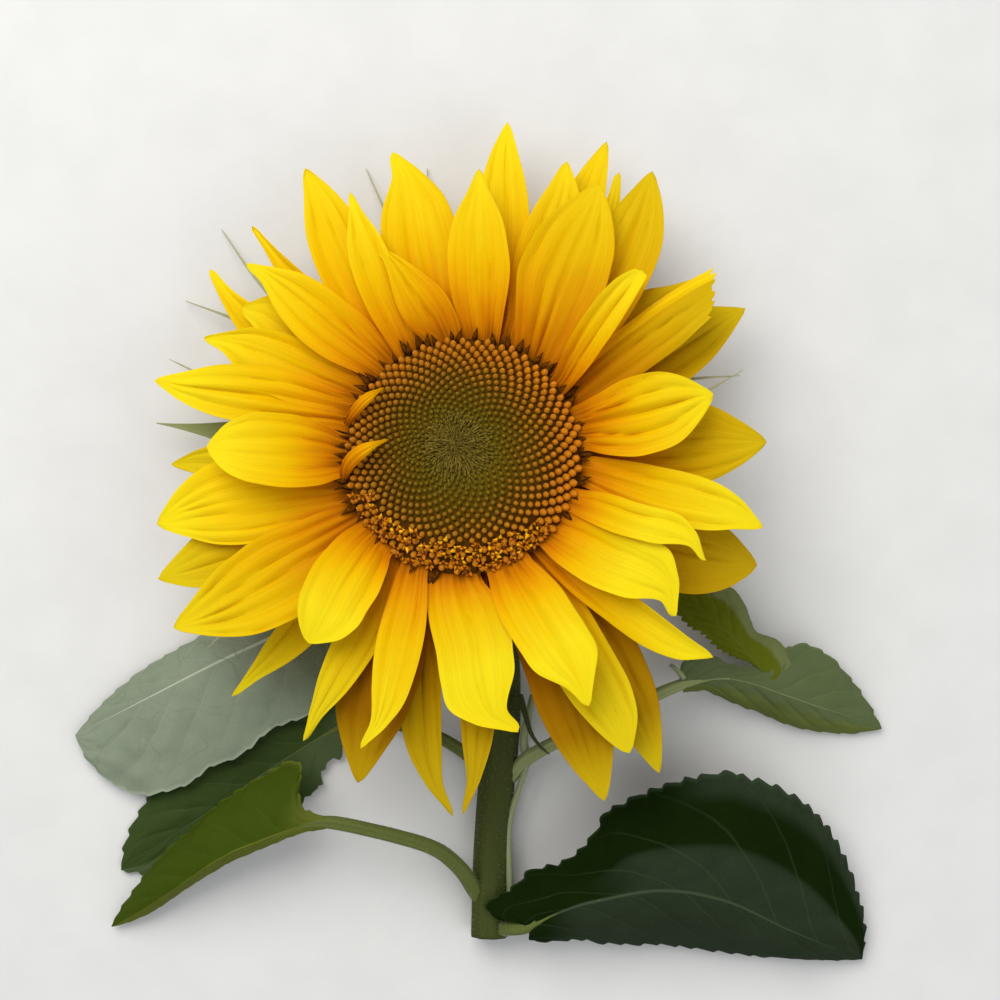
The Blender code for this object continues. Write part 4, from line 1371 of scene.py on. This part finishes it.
def hairShape():
    bm = bmesh.new()
    bmesh.ops.create_cone(bm, cap_ends=True, segments=3, radius1=0.055, radius2=0.0, depth=1.0)
    bmesh.ops.translate(bm, verts=bm.verts, vec=(0, 0, 0.45))
    return asShape(bm, "hair")


def addHairs(name, frames, radius, amount, finish, draw, ends):
    count, length = amount
    shape = hairShape()
    copies = []
    steps = len(frames) - 1
    for _ in range(count):
        s = draw.uniform(*ends)
        point, side, up, along = frames[round(s * steps)]
        turn = draw.uniform(0, math.tau)
        out = side * math.cos(turn) + up * math.sin(turn)
        spot = point + out * radius(s, turn) + along * draw.uniform(-0.5, 0.5) * mm
        lean = out + along * draw.uniform(-0.3, 0.5)
        lean = (lean + Vector((draw.uniform(-0.2, 0.2), draw.uniform(-0.2, 0.2), 0))).normalized()
        tall = length * draw.uniform(0.5, 1.3)
        if spot.z + min(0.0, lean.z) * tall > 0.3 * mm:  # not into the floor
            copies.append((shape, standing(spot, lean, turn, (1.0 * mm, 1.0 * mm, tall))))
    finishPiece(name, joinCopies(copies), finish, flat=True)


# the lines and curls beside the stem, with their radius at both ends in mm
stemExtras = (
    dict(
        name="stem_line",
        line=((27.5, -134.5, 14.5), (25.0, -141.5, 13.5), (22.6, -149, 13), (20.5, -156, 12.5),
              (19.3, -163, 12.5), (19.0, -172, 12.5), (19.4, -180, 12.5), (20.0, -193, 12.5),
              (20.2, -209, 12.5)),
        radius=(1.2, 1.7),
    ),
    dict(
        name="axil_shoot",
        line=((24, -104, 17), (26.5, -112, 20), (29, -120, 21), (33, -126, 20.5), (37, -129.5, 19)),
        radius=(1.6, 0.3),
    ),
    dict(
        name="axil_stalk",
        line=((27, -131, 13), (26, -124, 14.5), (27.5, -115, 15), (30, -104, 16)),
        radius=(2.0, 1.4),
    ),
    dict(
        name="leaf_curl",
        line=((95.5, -96, 24), (93, -93, 25), (90.8, -91, 25), (89.5, -90.2, 24)),
        radius=(1.2, 0.5),
    ),
)


# a tube's radius that goes evenly from one end's to the other's
def taper(ends):
    return lambda s, turn: between(ends, s)


def makeStem():
    down = -headPlace.col[2].xyz
    neck = headPlace @ Vector((0, 0, -head["depth"] + 0.5 * mm))
    points = [neck, neck + down * stemForm["neck"], *[placed(p) for p in stemLine]]
    steps, sides = stemForm["grid"]
    frames = framesAlong(points, steps)

    def radius(s, turn):
        flare = 1 + (stemForm["flare"] - 1) * (1 - clamp(s * 4.2)) ** 2
        ribs = stemForm["ribDepth"] * math.cos(turn * stemForm["ribs"]) * (0.6 + 0.4 * math.sin(s * 21))
        even = between(stemForm["radius"], s) * flare * stemForm["under"]
        return even + ribs + stemForm["rough"] * wobble(s * 30, turn * 2)

    green = greenMaterial("stem green", (0.024, 0.032, 0.002), (0.060, 0.075, 0.012), 0.75, 26.0)
    finishPiece("stem_skin", tubeGrid(frames, sides, radius), green, ["stem"])
    draw = random.Random(stemForm["seed"])
    hairs = plainMaterial("stem hairs", (0.30, 0.33, 0.22), 0.8, 0.1, 600, specular=0.1)
    addHairs("stem_hairs", frames, radius, stemForm["hairs"], hairs, draw, (0.06, 0.995))
    pale = greenMaterial("pale line green", (0.19, 0.22, 0.10), (0.30, 0.34, 0.19), 0.7, 10.0)
    steps, sides = stemForm["extraGrid"]
    for row in stemExtras:
        name = row["name"]
        frames = framesAlong([placed(p) for p in row["line"]], steps)
        radius = taper([r * mm for r in row["radius"]])
        finish = green if name == "axil_shoot" else pale
        finishPiece(name, tubeGrid(frames, sides, radius), finish)
        addHairs("hairs_" + name, frames, radius, stemForm["extraHairs"], hairs, draw, (0.02, 0.98))
    print("stem made, with", len(stemExtras), "lines and curls")
    return hairs


# a leaf's stalk, whose last part thins out under the blade's midrib
def makeStalk(row, hairs):
    name = row["name"]
    rib = evenLine([placed(p) for p in row["rib"]], leafForm["steps"])
    ends = [r * mm for r in row["stalkRadius"]]
    points = [placed(p) for p in row["stalk"]]
    start = (len(points) - 1) / (len(points) - 1 + len(leafForm["tail"]))
    for t in leafForm["tail"]:
        far = t / leafForm["tail"][-1]
        size = between((ends[1], leafForm["tailEnd"]), far)
        points.append(blendAlong(rib, t) + Vector((0, 0, between((1.7 * mm, 0.35 * mm), far) - size)))
    steps, sides = leafForm["stalkGrid"]
    frames = framesAlong(points, steps)

    def radius(s, turn):
        groove = 0.20 * math.exp(-(((turn - math.pi / 2) / 0.45) ** 2))
        size = between(ends, clamp(s / start) ** 0.6) * (1.0 - groove) + 0.08 * mm * math.cos(turn * 6)
        return between((size, leafForm["tailEnd"]), smooth(start, 1.0, s) ** 0.8)

    tones = row.get("stalkTone", ((0.060, 0.078, 0.010), (0.13, 0.155, 0.035)))
    finish = greenMaterial("stalk green " + name, *tones, 0.7, 12.0)
    finishPiece("leafstalk_" + name, tubeGrid(frames, sides, radius), finish, ["stalk_" + name])
    draw = random.Random(len(name) + 3)
    length = sum((a[0] - b[0]).length for a, b in zip(frames, frames[1:]))
    amount = (int(length / mm * leafForm["hairsPerMm"]), leafForm["hairLength"])
    addHairs("hairs_" + name, frames, radius, amount, hairs, draw, (0.02, start))


# the second colour over the part of the blade that a row names: partly the leaf's own tint, partly
# painted shade, painted highlight and painted sheen
leafLooks = {
    "bright": dict(blade=(0.030, 0.052, 0.001), pale=(0.056, 0.086, 0.002), vein=(0.11, 0.14, 0.010),
                   tintShadeAndSheen=(0.140, 0.150, 0.022), rough=0.7, veins=0.07),
    # painted sheen: this look's pale grey-green blade and pale veins stand for the sky's sheen on a hairy
    # leaf, and its crease lines are painted shade
    "silver": dict(blade=(0.165, 0.205, 0.135), pale=(0.30, 0.34, 0.25), vein=(0.42, 0.46, 0.34),
                   tintShadeAndSheen=(0.085, 0.095, 0.008), rough=0.7, veins=0.10, creaseShade=0.5),
    "dark": dict(blade=(0.024, 0.045, 0.008), pale=(0.050, 0.082, 0.018), vein=(0.07, 0.10, 0.035),
                 tintShadeAndSheen=(0.085, 0.115, 0.050), rough=0.7, veins=0.4),
    "deep": dict(blade=(0.0030, 0.0090, 0.0004), pale=(0.009, 0.021, 0.002), vein=(0.048, 0.070, 0.036),
                 tintShadeAndSheen=(0.034, 0.047, 0.029), rough=0.8, veins=0.24, lean=(-2.1, 2.1), specular=0.03),
    "olive": dict(blade=(0.085, 0.100, 0.001), pale=(0.120, 0.140, 0.005), vein=(0.12, 0.15, 0.02),
                  tintShadeAndSheen=(0.17, 0.19, 0.095), rough=0.7, veins=0.3),
    "blue": dict(blade=(0.078, 0.105, 0.034), pale=(0.13, 0.165, 0.075), vein=(0.18, 0.21, 0.10),
                 tintShadeAndSheen=(0.115, 0.140, 0.006), rough=0.7, veins=0.2),
}


# what all the leaf looks share: scales of the noises, then the veins and the edge by their place across
leafFinish = {
    "cloud": 60.0,
    "fleck": 1100.0,
    "net": 260.0,
    "netShare": 0.2,
    "drift": 0.35,  # how far the side veins stray from their even places
    "sideVein": (0.010, 0.040),  # half the width at its core and at its rim
    "midrib": (0.010, 0.035),
    "edge": (0.95, 0.99),
    "through": 0.10,
}


# the midrib and the side veins: 1 on a vein, 0 between them
def leafVeins(m, u, v, across, look):
    drift = m.times(m.minus(m.grain(u, v, (4.0, 4.0)), 0.5), leafFinish["drift"])
    leanLeft, leanRight = look.get("lean", (leafForm["veinLean"],) * 2)
    isLeft = m.math("GREATER_THAN", v, 0.5)
    lean = m.plus(m.times(isLeft, leanLeft - leanRight), leanRight)
    lean = m.times(m.math("POWER", across, leafForm["veinCurve"]), lean)
    run = m.plus(m.minus(m.times(u, float(leafForm["veins"])), lean), drift)
    offset = m.math("FRACT", m.plus(run, leafForm["veinStart"]))
    sideVein = m.fade(m.math("ABSOLUTE", m.minus(offset, 0.5)), *leafFinish["sideVein"])
    rib = m.fade(m.math("DIVIDE", across, m.minus(1.15, u)), *leafFinish["midrib"])
    inner = m.fade(across, 0.2, 1.0)  # side veins fade out towards the edge
    side = m.times(sideVein, m.times(m.plus(inner, 0.25), look["veins"]), clamped=True)
    return m.math("MAXIMUM", side, rib)


# the fine net between the veins: 1 along its lines
def leafNet(m):
    cells = m.add("TexVoronoi", feature="DISTANCE_TO_EDGE")
    m.link(m.place(), cells.inputs["Vector"])
    cells.inputs["Scale"].default_value = leafFinish["net"]
    return m.times(m.minus(0.10, cells.outputs["Distance"]), 4.0, clamped=True)


def leafMaterial(name, look):
    m = Finish("leaf " + name)
    blade, pale, vein = look["blade"], look["pale"], look["vein"]
    u, v, _ = m.split(m.surface())
    across = m.math("ABSOLUTE", m.times(m.minus(v, 0.5), 2.0))
    veins = leafVeins(m, u, v, across, look)
    net = leafNet(m)
    cloud = m.noise(m.place(), leafFinish["cloud"], 4.0, 0.6)
    fleck = m.noise(m.place(), leafFinish["fleck"], 2.0, 0.6)
    colour = m.mix(m.times(cloud, 0.6), blade, pale)
    patch = m.plus(m.times(cloud, 0.5), 0.6)
    # the second colour, partly the leaf's own tint and partly painted shade, painted highlight and
    # painted sheen
    tintShadeSheenColour = m.mix(m.times(fleck, 0.4), look["tintShadeAndSheen"], pale)
    colour = m.mix(m.times(m.attribute("tintShadeAndSheen"), patch, clamped=True), colour, tintShadeSheenColour)
    colour = m.mix(m.times(net, leafFinish["netShare"]), colour, pale)
    colour = m.mix(m.times(fleck, 0.25), colour, pale)
    edge = m.minus(1.0, m.fade(across, *leafFinish["edge"]))
    colour = m.mix(m.times(edge, 0.4), colour, vein)
    colour = m.mix(veins, colour, vein)
    # painted shade: thin dark lines along the folds of a noise, where shade falls in the leaf's creases
    if "creaseShade" in look:
        fold = m.noise(m.place(), 26.0, 2.0, 0.4, 1.5)
        crease = m.fade(m.math("ABSOLUTE", m.minus(fold, 0.5)), 0.001, 0.010)
        colour = m.mix(m.times(crease, look["creaseShade"]), colour, blade)
    height = m.plus(m.times(veins, -0.8), m.times(fleck, 0.3))
    normal = m.bump(m.minus(height, m.times(net, leafFinish["netShare"])), 0.0004, 0.6)
    m.dress(colour, normal, look["rough"], look.get("specular", 0.08))
    m.translucent(colour, leafFinish["through"], normal)
    return m.material


# teeth along an edge: how far each of its even steps stands out or in
def leafTeeth(edge, depth, pitch, backward, seed):
    steps = len(edge) - 1
    length = sum((b - a).length for a, b in zip(edge, edge[1:]))
    count = round(length / (pitch * mm))
    stands = []
    for k in range(steps + 1):
        s = k / steps
        phase = (s * count + 0.4 * wobble(s * count * 0.6, seed)) % 1.0
        if backward:
            phase = 1 - phase
        rise = phase / 0.8 if phase < 0.8 else (1 - phase) / 0.2
        size = depth * leafForm["tooth"] * (0.75 + 0.8 * abs(wobble(s * count * 0.8, seed, 3.1)))
        stands.append(size * (rise - 0.5) * smooth(0.0, 0.05, s) * smooth(0.0, 0.04, 1 - s))
    return stands


def leafGrid(row):
    steps = leafForm["steps"]
    rib = evenLine([placed(p) for p in row["rib"]], steps)
    edges = [evenLine([placed(p) for p in row[half]], steps) for half in ("left", "right")]
    seed = len(row["name"]) * 3.7
    pitch = row.get("pitch", leafForm["pitch"])
    backward = row.get("backward", (False, False))
    teeth = [leafTeeth(edges[k], row["teeth"][k], pitch, backward[k], seed + k) for k in (0, 1)]
    creaseHalf, creaseAt, creaseHigh = row.get("crease", (0, 0.5, 0.0))
    crinkle = row.get("crinkle", 1.0)

    # how far the blade stands off the plane through its rib and its edge
    def swell(s, v, half):
        lean = leafForm["veinLean"] * v ** leafForm["veinCurve"]
        offset = abs((s * leafForm["veins"] - lean + leafForm["veinStart"]) % 1.0 - 0.5)
        puff = leafForm["puff"] * (smooth(0.0, 0.25, offset) - 0.7) * smooth(0.0, 0.15, v) * (1 - v**4)
        fine = 0.3 * crinkle * wobble(s * 16, seed, v * 5 + half * 9)
        broad = wobble(s * 5, seed, v * 1.5 + half * 5) * v
        wave = leafForm["wave"] * (broad + fine * smooth(0, 0.2, v))
        fold = row["arch"][half] * mm * 4 * v * (1 - v)
        if half == creaseHalf:
            share = v / creaseAt if v < creaseAt else (1 - v) / (1 - creaseAt)
            fold += creaseHigh * mm * share * smooth(0.15, 0.4, s)
        return puff + wave + fold

    def place(s, v):
        half, v = (0, v) if v > 0 else (1, -v)
        root, rim = blendAlong(rib, s), blendAlong(edges[half], s)
        across, along, tangent = rim - root, headingAlong(rib, s), headingAlong(edges[half], s)
        normal = along.cross(across).normalized()
        if normal.z < 0:
            normal = -normal
        outward = (across - tangent * across.dot(tangent)).normalized()
        tooth = outward * (teeth[half][round(s * steps)] * smooth(0.78, 1.0, v))
        broad = clamp(across.length / leafForm["broad"])
        point = root + across * v + tooth + normal * (swell(s, v, half) * broad)
        point.z = max(point.z, leafForm["rest"] + shift.z)
        return point

    def tintShadeAndSheen(s, v):
        half, v = (0, v) if v > 0 else (1, -v)
        found = [smooth(a, b, s) * smooth(c, d, v) for side, a, b, c, d in row["tintShadeAndSheen"] if side == half]
        return max(found, default=0.0)

    return sheetGrid(steps, leafForm["columns"], place, paint=("tintShadeAndSheen", tintShadeAndSheen))


def makeLeaves(hairs):
    for row in leafRows:
        nodes = []
        if "stalk" in row:
            makeStalk(row, hairs)
            nodes = ["leaf_" + row["name"]]
        finish = leafMaterial(row["name"], leafLooks[row["look"]])
        finishPiece("blade_" + row["name"], leafGrid(row), finish, nodes, leafForm["thick"])
    print("leaves made:", len(leafRows))


# the camera, the light and the floor
stage = {
    "camera": (15.5, -18.5, 950.0),  # mm, from the point of the floor under the head
    "lens": 76.71,
    "key": dict(spot=(-0.50, 0.85, 1.25), size=1.4, power=22.5, colour=(1.0, 0.98, 0.95)),
    "fill": dict(spot=(0.9, -0.6, 1.1), size=1.4, power=5.0, colour=(0.95, 0.98, 1.0)),
    "sky": (0.93, 0.96, 1.0),
    "skyPower": 0.58,
    "floor": (0.66, 0.655, 0.635),
    "floorHalf": 3.0,
}


def addLight(name, spot, size, power, colour):
    lamp = bpy.data.lights.new(name, "AREA")
    lamp.shape = "DISK"
    lamp.size = size
    lamp.energy = power
    lamp.color = colour
    thing = bpy.data.objects.new(name, lamp)
    thing.location = spot
    thing.rotation_euler = (headPlace.translation - Vector(spot)).to_track_quat("-Z", "Y").to_euler()
    bpy.context.scene.collection.objects.link(thing)


def makeStage():
    scene = bpy.context.scene
    camera = bpy.data.cameras.new("camera")
    camera.lens = stage["lens"]
    camera.clip_start = 0.01
    thing = bpy.data.objects.new("camera", camera)
    thing.location = placed(stage["camera"])
    scene.collection.objects.link(thing)
    scene.camera = thing
    addLight("key", **stage["key"])
    addLight("fill", **stage["fill"])
    world = bpy.data.worlds.new("sky")
    world.use_nodes = True
    sky = world.node_tree.nodes["Background"]
    sky.inputs["Color"].default_value = (*stage["sky"], 1.0)
    sky.inputs["Strength"].default_value = stage["skyPower"]
    scene.world = world
    scene.view_settings.view_transform = "Standard"
    bm = bmesh.new()
    bmesh.ops.create_grid(bm, x_segments=1, y_segments=1, size=stage["floorHalf"])
    mesh = bpy.data.meshes.new("floor")
    bm.to_mesh(mesh)
    bm.free()
    floor = bpy.data.objects.new("floor", mesh)
    scene.collection.objects.link(floor)
    mesh.materials.append(plainMaterial("floor", stage["floor"], 0.9, 0.02, 30))


makeStage()
makePetals()
makeDisc()
makeHeadBack()
makeBracts()
makeLeaves(makeStem())
